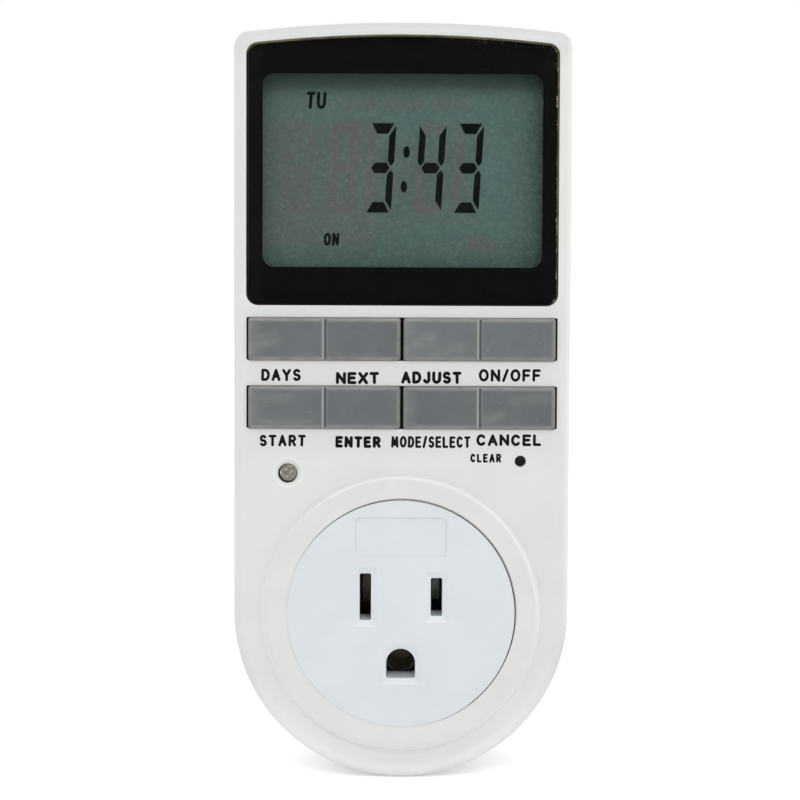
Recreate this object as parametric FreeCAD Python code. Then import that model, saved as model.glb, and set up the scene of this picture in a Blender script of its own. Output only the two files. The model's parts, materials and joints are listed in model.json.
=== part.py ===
import FreeCAD, Part
import math
import os
from FreeCAD import Vector

# Plug-in timer with a display, four rocker caps and a grounded outlet on its face.
# Sizes are in millimetres. +X is right and +Z is up for the user, and the face looks along -Y.
# The origin is the middle of the round plug boss, in the plane of the wall plate.
# The outlet, the plug and the round lower end of the case share the Y axis.

# Outer case
case_width = 60.0
case_top = 105.0
top_arc_radius = 236.0
top_corner_radius = 2.6
inner_corner_radius = 0.5
side_wall = 2.0
face_wall = 2.4
back_wall = 2.2
front_edge_radius = 2.0
back_edge_radius = 2.0
parting_depth = 13.0
parting_reveal = 0.12
tongue_height = 1.5
tongue_clearance = 0.1
boss_height = 3.0
boss_radius = 19.0
boss_wall = 2.2
boss_floor = 2.4
boss_edge_radius = 0.8

# Boards and the stack of parts between the back wall and the face
power_standoff = 2.0
power_board_thickness = 1.6
board_gap = 16.5
control_board_thickness = 1.4
backing_thickness = 1.2
reflector_thickness = 0.3
glass_thickness = 1.1
display_gap = 0.2
board_edge_gap = 0.8
board_corner_radius = 1.0

# Display window and the liquid crystal display behind it
window_inset = 2.4
window_recess = 0.1
window_thickness = 1.25
window_gap = 0.12
window_corner_radius = 2.0
border_thickness = 0.1
border_edge_gap = 0.16
window_height = 47.6
view_side = 2.75
view_top = 6.7
view_height = 34.2
view_corner_radius = 2.0
ledge_gap = 0.5
glass_margin = 1.15
glass_top_margin = 0.8
contact_ledge = 2.6
rear_glass_margin = 0.6
reflector_inset = 0.4
backing_inset = 1.0
backing_corner_radius = 1.0
strip_width = 1.4
strip_end_gap = 1.0
frame_gap = 0.15
frame_wall = 0.9
frame_corner_radius = 0.6

# Rocker caps: two rows of two, with a pair of keys on each cap
row_gap = 2.2
row_pitch = 12.15
row_height = 7.75
row_corner_radius = 0.6
cap_end_gap = 0.3
cap_middle_gap = 0.5
cap_side_gap = 0.07
cap_proud = 0.9
cap_thickness = 2.7
cap_edge_radius = 0.7
groove_width = 0.68
groove_depth = 0.35
groove_stop = 0.3
groove_lip = 0.01
hinge_depth = 0.75
pin_radius = 0.6
pin_length = 0.9
pin_clearance = 0.05
keel_width = 2.0
saddle_width = 3.4
saddle_wall = 1.15
saddle_depth = 1.6
pusher_radius = 1.6
pusher_offset = 7.0

# Silicone keypad with a dome and a carbon pill under each key
pad_thickness = 0.8
dome_height = 2.2
dome_base_radius = 3.2
dome_top_radius = 2.2
dome_press_gap = 0.02
dome_bore_radius = 2.45
pill_radius = 1.7
pill_thickness = 0.5
pill_gap = 0.35
pad_margin = 1.2
pad_corner_radius = 1.5

# Indicator light and reset switch
light_from_side = 9.83
light_drop = 7.82
light_radius = 1.5
light_flange_width = 0.4
light_flange = 1.0
light_hole_gap = 0.22
light_shift = 0.13
light_proud = 0.3
light_lift = 1.6
light_lead_radius = 0.25
light_lead_pitch = 1.27
light_board_edge = 2.4
dish_width = 0.88
dish_depth = 0.3
reset_from_side = 8.8
reset_drop = 5.65
reset_hole_radius = 1.02
switch_size = 6.0
switch_height = 3.3
switch_corner_radius = 0.4
plunger_radius = 1.65
plunger_clearance = 0.05
plunger_gap = 0.15
plunger_buried = 1.2
plunger_chamfer = 0.15
plunger_travel = 0.25

# Outlet
outlet_proud = 1.4
ring_proud = 1.5
outlet_radius = 20.35
outlet_gap = 0.13
outlet_edge_radius = 0.2
ring_width = 4.45
ring_edge_radius = 1.3
flange_inset = 0.6
flange_thickness = 1.4
flange_gap = 0.05
flange_notch_gap = 0.3
guide_depth = 7.4
guide_corner_radius = 1.0
blade_pitch = 12.7
blade_rise = 2.97
ground_drop = 8.93
slot_width = 2.05
hot_slot_height = 6.85
neutral_slot_height = 8.4
slot_corner_radius = 0.3
slot_bevel = 1.15
slot_bevel_depth = 0.5
ground_hole_radius = 2.6
ground_hole_height = 5.3
ground_corner_radius = 0.4
label_width = 16.4
label_height = 7.0
label_z = 13.75
label_corner_radius = 1.1
label_depth = 0.25

# Plug
blade_length = 17.5
blade_thickness = 1.5
hot_blade_height = 6.35
neutral_blade_height = 7.9
blade_hole_radius = 1.6
blade_hole_from_tip = 4.4
blade_tip_chamfer = 0.45
blade_fit = 0.05
shoulder_thickness = 1.2
shoulder_side = 1.0
blade_tail_height = 5.0
blade_tail_length = 6.1
ground_pin_radius = 2.38
ground_pin_length = 20.6
ground_pin_seat_radius = 3.0
ground_pin_flange_radius = 4.0
ground_pin_tail_radius = 2.0
clamp_thickness = 2.0
clamp_gap = 0.3
clamp_screw_from_blade = 6.25
clamp_screw_z = -4.0
clamp_post_radius = 2.2

# Outlet contacts and their carrier
carrier_gap = 0.1
carrier_depth = 14.4
carrier_back_wall = 2.2
carrier_wall = 1.4
ear_reach = 5.1
ear_z = -2.0
ear_radius = 2.6
ear_corner_radius = 2.0
ear_post_height = 2.5
ear_thickness = 2.0
face_contact_gap = 0.02
contact_thickness = 0.5
contact_mouth = 3.8
contact_pinch = 0.1
contact_root = 3.0
contact_pinch_depth = 3.0
contact_clearance = 0.35
contact_seat_gap = 0.05
contact_mouth_gap = 0.3
neutral_contact_inset = 1.0
line_contact_inset = 0.6
tail_thickness = 0.8
tail_height = 4.0
tail_clearance = 0.1
neutral_tail_gap = 0.4
line_tail_length = 1.8
ground_sleeve_wall = 0.6
ground_sleeve_gap = 0.05
ground_stem_radius = 1.4
ground_base_thickness = 0.8
ground_slit_width = 0.6
ground_slit_end = 3.0
ground_tail_length = 3.2
wire_radius = 0.9
wire_bend = 2.2
wire_gap = 0.05
wire_shoulder_gap = 0.4
wire_rise = 11.0
wire_run_depth = 3.0
wire_pad_z = 3.5
wire_board_gap = 5.0
line_wire_shift = 3.0
neutral_wire_shift = 1.0
switched_wire_out = 6.0
switched_wire_rise = 12.0
switched_wire_back = 4.0

# Fasteners
case_screw_head_radius = 2.2
case_screw_head_height = 1.6
case_screw_radius = 1.25
case_screw_length = 13.0
case_screw_seat = 5.0
case_boss_radius = 2.3
case_tube_radius = 3.0
case_tube_gap = 0.15
case_boss_wall_gap = 0.7
low_tube_wall_gap = 0.1
case_boss_frame_gap = 0.15
small_screw_head_radius = 1.7
small_screw_head_height = 1.2
small_screw_radius = 0.8
small_screw_length = 4.0
screw_tip_share = 0.3
screw_slot_share = 0.28
screw_slot_reach_share = 0.62
screw_slot_depth_share = 0.6
screw_clearance = 0.2
pilot_clearance = 0.03
pilot_spare = 0.2
post_radius = 1.8
post_gap = 0.25
upper_post_inset = 5.4
lower_post_x = 10.0
lower_post_gap = 1.2
power_board_inset = 4.0
power_board_drop = 4.2
power_board_top_gap = 5.0
power_post_inset = 3.0
power_post_rise = 4.0

# Components on the control board, placed from its edges and the upper row of keys
chip_x = -9.0
chip_above_keys = 24.0
chip_radius = 5.5
chip_height = 1.2
chip_edge_share = 0.8
crystal_from_chip_x = 2.0
crystal_from_chip_z = 12.0
crystal_radius = 1.0
crystal_length = 6.0
battery_radius = 7.7
battery_height = 5.4
battery_tab_thickness = 0.25
battery_tab_width = 4.0
battery_tab_reach = 2.0
battery_tab_gap = 0.3
battery_tab_foot = 1.6
battery_edge_radius = 0.6
battery_margin = 4.0
ribbon_count = 6
ribbon_pitch = 1.27
ribbon_wire_radius = 0.45
ribbon_inset = 6.8
ribbon_rise = 5.8

# Components on the power board
relay_width = 15.5
relay_length = 19.0
relay_side_inset = 1.5
relay_rise = 8.5
relay_headroom = 1.0
relay_corner_radius = 0.8
relay_wall = 0.8
relay_base_thickness = 2.0
relay_gap = 0.1
yoke_thickness = 1.2
yoke_width = 10.0
yoke_below_top = 4.7
yoke_foot_past_pole = 2.0
yoke_arm_end_gap = 1.5
bobbin_from_arm = 2.2
pole_radius = 2.6
pole_thickness = 0.6
bobbin_flange = 0.7
bobbin_wall = 0.9
coil_step = 0.4
winding_depth = 1.68
coil_gap = 0.02
armature_width = 9.0
armature_thickness = 1.0
armature_past_pole = 0.7
heel_radius = 0.5
armature_below_hinge = 0.2
armature_angle = 4.0
leaf_thickness = 0.3
leaf_width = 3.0
leaf_end_inset = 2.0
contact_from_bobbin = 0.45
contact_button_radius = 1.15
contact_button_height = 1.0
fixed_contact_thickness = 0.6
fixed_pad_thickness = 0.5
contact_end_gap = 0.35
closed_gap = 0.03
capacitor_from_relay = 5.0
capacitor_above_relay = 1.5
capacitor_width = 18.0
capacitor_thickness = 7.5
capacitor_height = 13.0
capacitor_corner_radius = 0.8
capacitor_edge_radius = 0.5
can_from_relay_x = 1.0
can_above_relay = 5.0
can_radius = 4.0
can_height = 12.0
varistor_from_relay = 14.0
varistor_above_relay_end = 1.0
varistor_radius = 5.0
varistor_thickness = 4.0
varistor_edge_radius = 1.2
varistor_lead_x = 2.5
varistor_lead_z = 0.8
diode_from_relay_x = 8.0
diode_above_relay = 6.5
diode_radius = 1.35
diode_length = 5.2
diode_end_gap = 2.0
diode_side_gap = 1.6
resistor_from_relay_x = 11.0
resistor_above_relay = 16.5
resistor_radius = 2.0
resistor_length = 10.5
fuse_from_relay = 13.0
fuse_above_relay_end = 8.2
fuse_radius = 1.6
fuse_length = 8.0
lead_radius = 0.4
lead_reach = 1.3
part_lift = 0.4

# Overlap that joins two shapes into one solid, and how far a cutting tool runs past a face
weld = 0.2
past = 1.0

# Planes across the depth. More negative is nearer to the user.
y_back = -boss_height
y_inside = y_back - back_wall
y_power_back = y_inside - power_standoff
y_power_front = y_power_back - power_board_thickness
y_wire_run = y_power_front - wire_run_depth
y_control_back = y_power_front - board_gap
y_control_front = y_control_back - control_board_thickness
y_backing_front = y_control_front - backing_thickness
y_reflector_front = y_backing_front - reflector_thickness
y_glass_joint = y_reflector_front - glass_thickness
y_glass_front = y_glass_joint - glass_thickness
y_plate_back = y_glass_front - display_gap
y_face = y_plate_back - face_wall
y_parting = -parting_depth
y_window_front = y_face + window_recess
y_window_back = y_window_front + window_thickness
y_ledge = y_window_back + border_thickness
y_ring = y_face - ring_proud
y_outlet = y_face - outlet_proud
y_flange_front = y_plate_back + flange_gap
y_flange_back = y_flange_front + flange_thickness
y_guide_end = y_outlet + guide_depth
y_carrier_front = y_guide_end + carrier_gap
y_carrier_back = y_carrier_front + carrier_depth
y_contact_seat = y_carrier_back - carrier_back_wall - contact_seat_gap
y_cap_front = y_face - cap_proud
y_cap_back = y_cap_front + cap_thickness
y_hinge = y_plate_back + hinge_depth
y_pad_front = y_control_front - pad_thickness
y_dome_top = y_pad_front - dome_height
y_boss_floor = -boss_floor
y_shoulder = y_boss_floor - shoulder_thickness
y_switch_top = y_control_front - switch_height
y_plunger_tip = y_plate_back + plunger_gap
y_clamp = y_shoulder - clamp_thickness
y_blade_tail = y_boss_floor - blade_tail_length
y_ground_tail = y_clamp - ground_tail_length
y_ear = y_flange_back + ear_post_height

# Places across the face
half_width = case_width / 2
inner_half = half_width - side_wall
window_half = half_width - window_inset
window_top = case_top - window_inset
window_bottom = window_top - window_height
view_half = window_half - view_side
view_z1 = window_top - view_top
view_z0 = view_z1 - view_height
glass_half = view_half + glass_margin
glass_z1 = view_z1 + glass_top_margin
glass_z0 = view_z0 - contact_ledge
rear_glass_z0 = view_z0 - rear_glass_margin
frame_half = glass_half + frame_gap + frame_wall
frame_z1 = glass_z1 + frame_gap + frame_wall
frame_z0 = glass_z0 - frame_gap - frame_wall
upper_row_z = window_bottom - row_gap - row_height / 2
lower_row_z = upper_row_z - row_pitch
rows = {"upper": upper_row_z, "lower": lower_row_z}
cap_height = row_height - 2 * cap_side_gap
cap_width = window_half - cap_end_gap - cap_middle_gap / 2
cap_x = cap_middle_gap / 2 + cap_width / 2
sides = {"left": -1, "right": 1}
lower_row_bottom = lower_row_z - row_height / 2
light_x = -half_width + light_from_side
light_z = lower_row_bottom - light_drop
light_hole_x = light_x - light_shift
light_hole_z = light_z - light_shift
light_hole_radius = light_radius + light_hole_gap
dish_radius = light_hole_radius + dish_width
reset_x = half_width - reset_from_side
reset_z = lower_row_bottom - reset_drop
pad_z0 = lower_row_z - dome_base_radius - pad_margin
pad_z1 = upper_row_z + dome_base_radius + pad_margin
board_half = inner_half - board_edge_gap
control_z0 = light_z - light_board_edge
control_z1 = glass_z1 + frame_wall / 2
case_screw_x = inner_half - case_boss_radius - case_boss_wall_gap
case_screw_z = frame_z1 + case_boss_radius + case_boss_frame_gap
low_screw_offset = (inner_half - case_tube_radius - low_tube_wall_gap) * math.sqrt(0.5)
case_screw_places = [
    (-case_screw_x, case_screw_z),
    (case_screw_x, case_screw_z),
    (-low_screw_offset, -low_screw_offset),
    (low_screw_offset, -low_screw_offset),
]
chip_z = upper_row_z + chip_above_keys
battery_x = board_half - battery_radius - battery_margin
battery_z = control_z1 - battery_radius - battery_margin
crystal_x = chip_x + crystal_from_chip_x
crystal_z = chip_z - crystal_from_chip_z
upper_post_z = frame_z0 - post_radius - post_gap
lower_post_z = pad_z0 - post_radius - lower_post_gap
control_post_places = [
    (side * x, z) for side in (-1, 1)
    for x, z in ((window_half - upper_post_inset, upper_post_z), (lower_post_x, lower_post_z))
]
power_half = inner_half - power_board_inset
power_z0 = control_z0 + power_board_drop
power_z1 = case_screw_z - case_tube_radius - power_board_top_gap
power_post_places = [
    (side * (power_half - power_post_inset), z) for side in (-1, 1)
    for z in (power_z0 + power_post_rise, power_z1 - power_post_rise)
]
ring_radius = outlet_radius + ring_width
flange_radius = ring_radius - flange_inset
outlet_screw_radius = (outlet_radius + flange_radius) / 2
outlet_screw_places = [
    (outlet_screw_radius * math.cos(math.radians(a)), outlet_screw_radius * math.sin(math.radians(a)))
    for a in (90, 200, 340)
]
neutral_x = -blade_pitch / 2
hot_x = blade_pitch / 2
pocket_half_x = contact_mouth / 2 + contact_thickness + contact_clearance
carrier_half_x = hot_x + pocket_half_x + carrier_wall
carrier_z1 = blade_rise + neutral_slot_height / 2 + contact_clearance + carrier_wall
sleeve_inner = ground_pin_radius + ground_sleeve_gap
sleeve_outer = sleeve_inner + ground_sleeve_wall
carrier_z0 = -ground_drop - sleeve_outer - contact_clearance - carrier_wall
ear_x = carrier_half_x + ear_reach
clamp_screw_x = hot_x + clamp_screw_from_blade
carrier_screw_places = [(-ear_x, ear_z), (ear_x, ear_z)]
clamp_screw_places = [(-clamp_screw_x, clamp_screw_z), (clamp_screw_x, clamp_screw_z)]


# Basic solids

def box(x0, x1, y0, y1, z0, z1):
    return Part.makeBox(x1 - x0, y1 - y0, z1 - z0, Vector(x0, y0, z0))


def rod(x, z, radius, y0, y1):
    return Part.makeCylinder(radius, y1 - y0, Vector(x, y0, z), Vector(0, 1, 0))


def rod_x(x0, x1, y, z, radius):
    return Part.makeCylinder(radius, x1 - x0, Vector(x0, y, z), Vector(1, 0, 0))


def rod_z(x, y, z0, z1, radius):
    return Part.makeCylinder(radius, z1 - z0, Vector(x, y, z0), Vector(0, 0, 1))


def line(a, b):
    return Part.LineSegment(a, b).toShape()


def arc(a, b, c):
    return Part.Arc(a, b, c).toShape()


def solid_between(wire, y1):
    """Extrudes a wire that lies in a plane across Y to the plane at y1."""
    y0 = wire.BoundBox.YMin
    return Part.Face(wire).extrude(Vector(0, y1 - y0, 0))


def rounded_wire(x0, x1, z0, z1, radius, y):
    """A rectangle with round corners in the plane at y."""
    turn = radius * (1 - math.sqrt(0.5))
    points = [
        (x0 + radius, z0), (x1 - radius, z0), (x1 - turn, z0 + turn), (x1, z0 + radius),
        (x1, z1 - radius), (x1 - turn, z1 - turn), (x1 - radius, z1), (x0 + radius, z1),
        (x0 + turn, z1 - turn), (x0, z1 - radius), (x0, z0 + radius), (x0 + turn, z0 + turn),
    ]
    p = [Vector(x, y, z) for x, z in points]
    edges = [
        line(p[0], p[1]), arc(p[1], p[2], p[3]), line(p[3], p[4]), arc(p[4], p[5], p[6]),
        line(p[6], p[7]), arc(p[7], p[8], p[9]), line(p[9], p[10]), arc(p[10], p[11], p[0]),
    ]
    return Part.Wire(edges)


def plate(x0, x1, z0, z1, radius, y0, y1):
    return solid_between(rounded_wire(x0, x1, z0, z1, radius, y0), y1)


def arched_top(half, apex, corner, y):
    """Edges over the top of the case or window, right to left, and the height of their ends."""
    radius = top_arc_radius - (case_top - apex)
    middle = apex - radius
    corner_x = half - corner
    corner_z = middle + math.sqrt((radius - corner) ** 2 - corner_x ** 2)
    lean = math.atan2(corner_x, corner_z - middle)
    halfway = (lean + math.pi / 2) / 2

    def on_corner(angle, side):
        x = corner_x + corner * math.sin(angle)
        return Vector(side * x, y, corner_z + corner * math.cos(angle))

    def on_top(angle):
        return Vector(radius * math.sin(angle), y, middle + radius * math.cos(angle))

    edges = [
        arc(Vector(half, y, corner_z), on_corner(halfway, 1), on_corner(lean, 1)),
        arc(on_corner(lean, 1), on_top(lean / 2), on_top(0)),
        arc(on_top(0), on_top(-lean / 2), on_corner(lean, -1)),
        arc(on_corner(lean, -1), on_corner(halfway, -1), Vector(-half, y, corner_z)),
    ]
    return edges, corner_z


def case_wire(inset, y):
    """Outline of the case, moved inwards by inset."""
    half = half_width - inset
    slant = half * math.sqrt(0.5)
    edges, side_z = arched_top(half, case_top - inset, max(top_corner_radius - inset, inner_corner_radius), y)
    edges.append(line(Vector(-half, y, side_z), Vector(-half, y, 0)))
    edges.append(arc(Vector(-half, y, 0), Vector(-slant, y, -slant), Vector(0, y, -half)))
    edges.append(arc(Vector(0, y, -half), Vector(slant, y, -slant), Vector(half, y, 0)))
    edges.append(line(Vector(half, y, 0), Vector(half, y, side_z)))
    return Part.Wire(edges)


def case_prism(inset, y0, y1):
    return solid_between(case_wire(inset, y0), y1)


def window_prism(grow, y0, y1):
    """The window's outline, larger all round by grow: a flat bottom and an arched top."""
    half = window_half + grow
    corner = window_corner_radius + grow
    z0 = window_bottom - grow
    turn = corner * (1 - math.sqrt(0.5))
    edges, side_z = arched_top(half, window_top + grow, corner, y0)

    def bottom_corner(side):
        return [Vector(side * x, y0, z) for x, z in
                ((half, z0 + corner), (half - turn, z0 + turn), (half - corner, z0))]

    left = bottom_corner(-1)
    right = bottom_corner(1)[::-1]
    edges.append(line(Vector(-half, y0, side_z), left[0]))
    edges.append(arc(*left))
    edges.append(line(left[2], right[0]))
    edges.append(arc(*right))
    edges.append(line(right[2], Vector(half, y0, side_z)))
    return solid_between(Part.Wire(edges), y1)


def edges_at(shape, y, tolerance=1e-4):
    """Edges that lie wholly in the plane at y."""
    return [
        e for e in shape.Edges
        if abs(e.BoundBox.YMin - y) < tolerance and abs(e.BoundBox.YMax - y) < tolerance
    ]


def strip(points, thickness, z0, z1):
    """A bent metal strip: a centre line of (x, y) points given a thickness and a height in Z."""
    def offset(side):
        found = []
        for i, (x, y) in enumerate(points):
            before = points[max(i - 1, 0)]
            after = points[min(i + 1, len(points) - 1)]
            first = unit(before, (x, y)) if i > 0 else unit((x, y), after)
            second = unit((x, y), after) if i < len(points) - 1 else first
            nx, ny = -(first[1] + second[1]), first[0] + second[0]
            length = math.hypot(nx, ny)
            nx, ny = nx / length, ny / length
            reach = side * thickness / 2 / (-first[1] * nx + first[0] * ny)
            found.append(Vector(x + nx * reach, y + ny * reach, z0))
        return found

    def unit(a, b):
        length = math.hypot(b[0] - a[0], b[1] - a[1])
        return (b[0] - a[0]) / length, (b[1] - a[1]) / length

    ring = offset(1) + offset(-1)[::-1]
    return Part.Face(Part.makePolygon(ring + ring[:1])).extrude(Vector(0, 0, z1 - z0))


def wire_solid(points, radius, bend):
    """A round wire of straight runs joined by arcs of the given bend radius."""
    p = [Vector(*q) for q in points]
    edges = []
    start = p[0]
    for before, corner, after in zip(p, p[1:], p[2:]):
        a = (before - corner).normalize()
        b = (after - corner).normalize()
        half_angle = a.getAngle(b) / 2
        cut = bend / math.tan(half_angle)
        middle = corner + (a + b).normalize() * (bend / math.sin(half_angle) - bend)
        edges.append(line(start, corner + a * cut))
        edges.append(arc(corner + a * cut, middle, corner + b * cut))
        start = corner + b * cut
    edges.append(line(start, p[-1]))
    path = Part.Wire(edges)
    profile = Part.Wire([Part.makeCircle(radius, p[0], p[1] - p[0])])
    return path.makePipeShell([profile], True, False)


def screw(x, z, y_seat, way, head_radius, head_height, radius, length):
    """A cross-head screw. Its shank runs from the seat along way, which is -1 or 1."""
    def along(near, far):
        return sorted((y_seat + way * near, y_seat + way * far))

    slot = head_radius * screw_slot_share
    reach = head_radius * screw_slot_reach_share
    body = rod(x, z, head_radius, *along(-head_height, 0))
    body = body.fuse(rod(x, z, radius, *along(-head_height / 2, length - radius)))
    tip = Part.makeCone(radius, radius * screw_tip_share, radius,
                        Vector(x, y_seat + way * (length - radius), z), Vector(0, way, 0))
    body = body.fuse(tip)
    y0, y1 = along(-head_height - past, -head_height * (1 - screw_slot_depth_share))
    cross = box(x - slot / 2, x + slot / 2, y0, y1, z - reach, z + reach)
    cross = cross.fuse(box(x - reach, x + reach, y0, y1, z - slot / 2, z + slot / 2))
    return body.cut(cross).removeSplitter()


def small_screw(x, z, y_seat, way):
    return screw(x, z, y_seat, way, small_screw_head_radius, small_screw_head_height,
                 small_screw_radius, small_screw_length)


def small_pilot(x, z, y_seat, way):
    """The hole that a small screw cuts its thread in, measured from under its head."""
    depth = small_screw_length + pilot_spare
    return rod(x, z, small_screw_radius + pilot_clearance, *sorted((y_seat, y_seat + way * depth)))


def fuse_all(shapes):
    return shapes[0].fuse(shapes[1:]).removeSplitter() if len(shapes) > 1 else shapes[0]


def axial_part(x, z, radius, length, y_board, way):
    """A round component that lies along X on a board, with its leads bent down to the board."""
    y = y_board + way * (radius + part_lift)
    reach = length / 2 + lead_reach
    shapes = [rod_x(x - length / 2, x + length / 2, y, z, radius)]
    shapes.append(rod_x(x - reach, x + reach, y, z, lead_radius))
    for side in (-1, 1):
        shapes.append(Part.makeSphere(lead_radius, Vector(x + side * reach, y, z)))
        shapes.append(rod(x + side * reach, z, lead_radius, *sorted((y, y_board))))
    return fuse_all(shapes)


# Covers

def front_cover():
    shell = case_prism(0, y_face, y_parting - parting_reveal / 2)
    shell = shell.makeFillet(front_edge_radius, edges_at(shell, y_face))
    ring = rod(0, 0, ring_radius, y_ring, y_plate_back)
    ring = ring.makeFillet(ring_edge_radius, edges_at(ring, y_ring))
    shell = shell.fuse(ring)
    hollow = case_prism(side_wall, y_plate_back, y_parting + past)
    step = case_prism(side_wall / 2, y_parting - tongue_height - tongue_clearance, y_parting + past)
    shell = shell.cut([hollow, step])

    posts = [rod(x, z, case_boss_radius, y_plate_back - weld, y_parting - tongue_height - tongue_clearance)
             for x, z in case_screw_places]
    posts += [rod(x, z, post_radius, y_plate_back - weld, y_control_front) for x, z in control_post_places]
    posts += [saddle(side * cap_x, z, end) for side in (-1, 1) for z in rows.values() for end in (-1, 1)]
    shell = shell.fuse(posts)

    cuts = [rod(0, 0, outlet_radius + outlet_gap, y_ring - past, y_plate_back + past)]
    cuts.append(window_prism(window_gap, y_face - past, y_ledge))
    cuts.append(view_plate(ledge_gap, y_face - past, y_plate_back + past))
    for z in rows.values():
        cuts.append(plate(-window_half, window_half, z - row_height / 2, z + row_height / 2,
                          row_corner_radius, y_face - past, y_plate_back + past))
    cuts.append(rod(light_hole_x, light_hole_z, light_hole_radius, y_face - past, y_plate_back + past))
    cuts.append(Part.makeCone(dish_radius, light_hole_radius, dish_depth,
                              Vector(light_hole_x, y_face, light_hole_z), Vector(0, 1, 0)))
    cuts.append(rod(reset_x, reset_z, reset_hole_radius, y_face - past, y_plate_back + past))
    y_pilot_end = y_back - case_screw_seat - case_screw_length - pilot_spare
    cuts += [rod(x, z, case_screw_radius + pilot_clearance, y_pilot_end, y_parting)
             for x, z in case_screw_places]
    cuts += [small_pilot(x, z, y_control_back, -1) for x, z in control_post_places]
    cuts += [small_pilot(x, z, y_flange_back, -1) for x, z in outlet_screw_places]
    return shell.cut(cuts).removeSplitter()


def saddle(x, z_row, end):
    """A block behind the face with a slot, open to the back, for one pin of a rocker cap."""
    z0, z1 = sorted((z_row + end * row_height / 2, z_row + end * (row_height / 2 + saddle_wall)))
    y1 = y_plate_back + saddle_depth
    block = box(x - saddle_width / 2, x + saddle_width / 2, y_plate_back - weld, y1, z0, z1)
    slot_radius = pin_radius + pin_clearance
    slot = rod_z(x, y_hinge, z0, z1, slot_radius)
    slot = slot.fuse(box(x - slot_radius, x + slot_radius, y_hinge, y1 + past, z0, z1))
    return block.cut(slot)


def rear_cover():
    shell = case_prism(0, y_parting + parting_reveal / 2, y_back)
    shell = shell.makeFillet(back_edge_radius, edges_at(shell, y_back))
    hollow = case_prism(side_wall, y_parting - past, y_inside)
    shell = shell.cut(hollow)
    tongue = case_prism(side_wall / 2 + tongue_clearance, y_parting - tongue_height,
                        y_parting + parting_reveal / 2)
    tongue = tongue.cut(case_prism(side_wall, y_parting - tongue_height - past, y_parting + past))
    boss = rod(0, 0, boss_radius, y_inside, 0)
    boss = boss.makeFillet(boss_edge_radius, edges_at(boss, 0))
    adds = [tongue, boss]
    inside_tongue = case_prism(side_wall / 2 + tongue_clearance, y_parting - tongue_height, y_inside + weld)
    adds += [rod(x, z, case_tube_radius, y_parting - tongue_height + case_tube_gap, y_inside + weld)
             .common(inside_tongue) for x, z in case_screw_places]
    adds += [rod(x, z, post_radius, y_power_back, y_inside + weld) for x, z in power_post_places]
    shell = shell.fuse(adds)
    shell = shell.cut(rod(0, 0, boss_radius - boss_wall, y_inside - past, y_boss_floor))
    shell = shell.fuse([rod(x, z, clamp_post_radius, y_shoulder, y_boss_floor + weld)
                        for x, z in clamp_screw_places])

    y_seat = y_back - case_screw_seat
    cuts = []
    for x, z in case_screw_places:
        cuts.append(rod(x, z, case_screw_radius + screw_clearance, y_parting - tongue_height - past, 0))
        cuts.append(rod(x, z, case_screw_head_radius + screw_clearance, y_seat, 0))
    cuts += [small_pilot(x, z, y_power_front, 1) for x, z in power_post_places]
    cuts += [small_pilot(x, z, y_clamp, 1) for x, z in clamp_screw_places]
    for x, height in ((neutral_x, neutral_blade_height), (hot_x, hot_blade_height)):
        cuts.append(box(x - blade_thickness / 2 - blade_fit, x + blade_thickness / 2 + blade_fit,
                        y_boss_floor - past, past, blade_rise - height / 2 - blade_fit,
                        blade_rise + height / 2 + blade_fit))
    cuts.append(rod(0, -ground_drop, ground_pin_seat_radius + blade_fit, y_boss_floor - past, past))
    return shell.cut(cuts).removeSplitter()


def case_screws():
    return Part.makeCompound([
        screw(x, z, y_back - case_screw_seat, -1, case_screw_head_radius, case_screw_head_height,
              case_screw_radius, case_screw_length)
        for x, z in case_screw_places
    ])


def board_screws():
    shapes = [small_screw(x, z, y_control_back, -1) for x, z in control_post_places]
    shapes += [small_screw(x, z, y_power_front, 1) for x, z in power_post_places]
    return Part.makeCompound(shapes)


def outlet_screws():
    shapes = [small_screw(x, z, y_flange_back, -1) for x, z in outlet_screw_places]
    shapes += [small_screw(x, z, y_ear + ear_thickness, -1) for x, z in carrier_screw_places]
    shapes += [small_screw(x, z, y_clamp, 1) for x, z in clamp_screw_places]
    return Part.makeCompound(shapes)


# Display

def view_plate(grow, y0, y1):
    return plate(-view_half - grow, view_half + grow, view_z0 - grow, view_z1 + grow,
                 view_corner_radius + grow, y0, y1)


def display_window():
    return window_prism(0, y_window_front, y_window_back)


def window_border():
    sheet = window_prism(-border_edge_gap, y_window_back, y_ledge)
    return sheet.cut(view_plate(0, y_window_back - past, y_ledge + past))


def display_front_glass():
    return box(-glass_half, glass_half, y_glass_front, y_glass_joint, glass_z0, glass_z1)


def display_rear_glass():
    return box(-glass_half, glass_half, y_glass_joint, y_reflector_front, rear_glass_z0, glass_z1)


def display_reflector():
    inset = reflector_inset
    return box(-glass_half + inset, glass_half - inset, y_reflector_front, y_backing_front,
               rear_glass_z0 + inset, glass_z1 - inset)


def display_backing():
    inset = backing_inset
    return plate(-glass_half + inset, glass_half - inset, rear_glass_z0 + inset, glass_z1 - inset,
                 backing_corner_radius, y_backing_front, y_control_front)


def contact_strip():
    middle = (glass_z0 + rear_glass_z0) / 2
    return box(-glass_half + strip_end_gap, glass_half - strip_end_gap, y_glass_joint, y_control_front,
               middle - strip_width / 2, middle + strip_width / 2)


def display_frame():
    outer = plate(-frame_half, frame_half, frame_z0, frame_z1, frame_corner_radius, y_plate_back,
                  y_control_front)
    inner = box(-glass_half - frame_gap, glass_half + frame_gap, y_plate_back - past, y_control_front + past,
                glass_z0 - frame_gap, glass_z1 + frame_gap)
    return outer.cut(inner)


# Rocker caps and keypad

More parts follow.
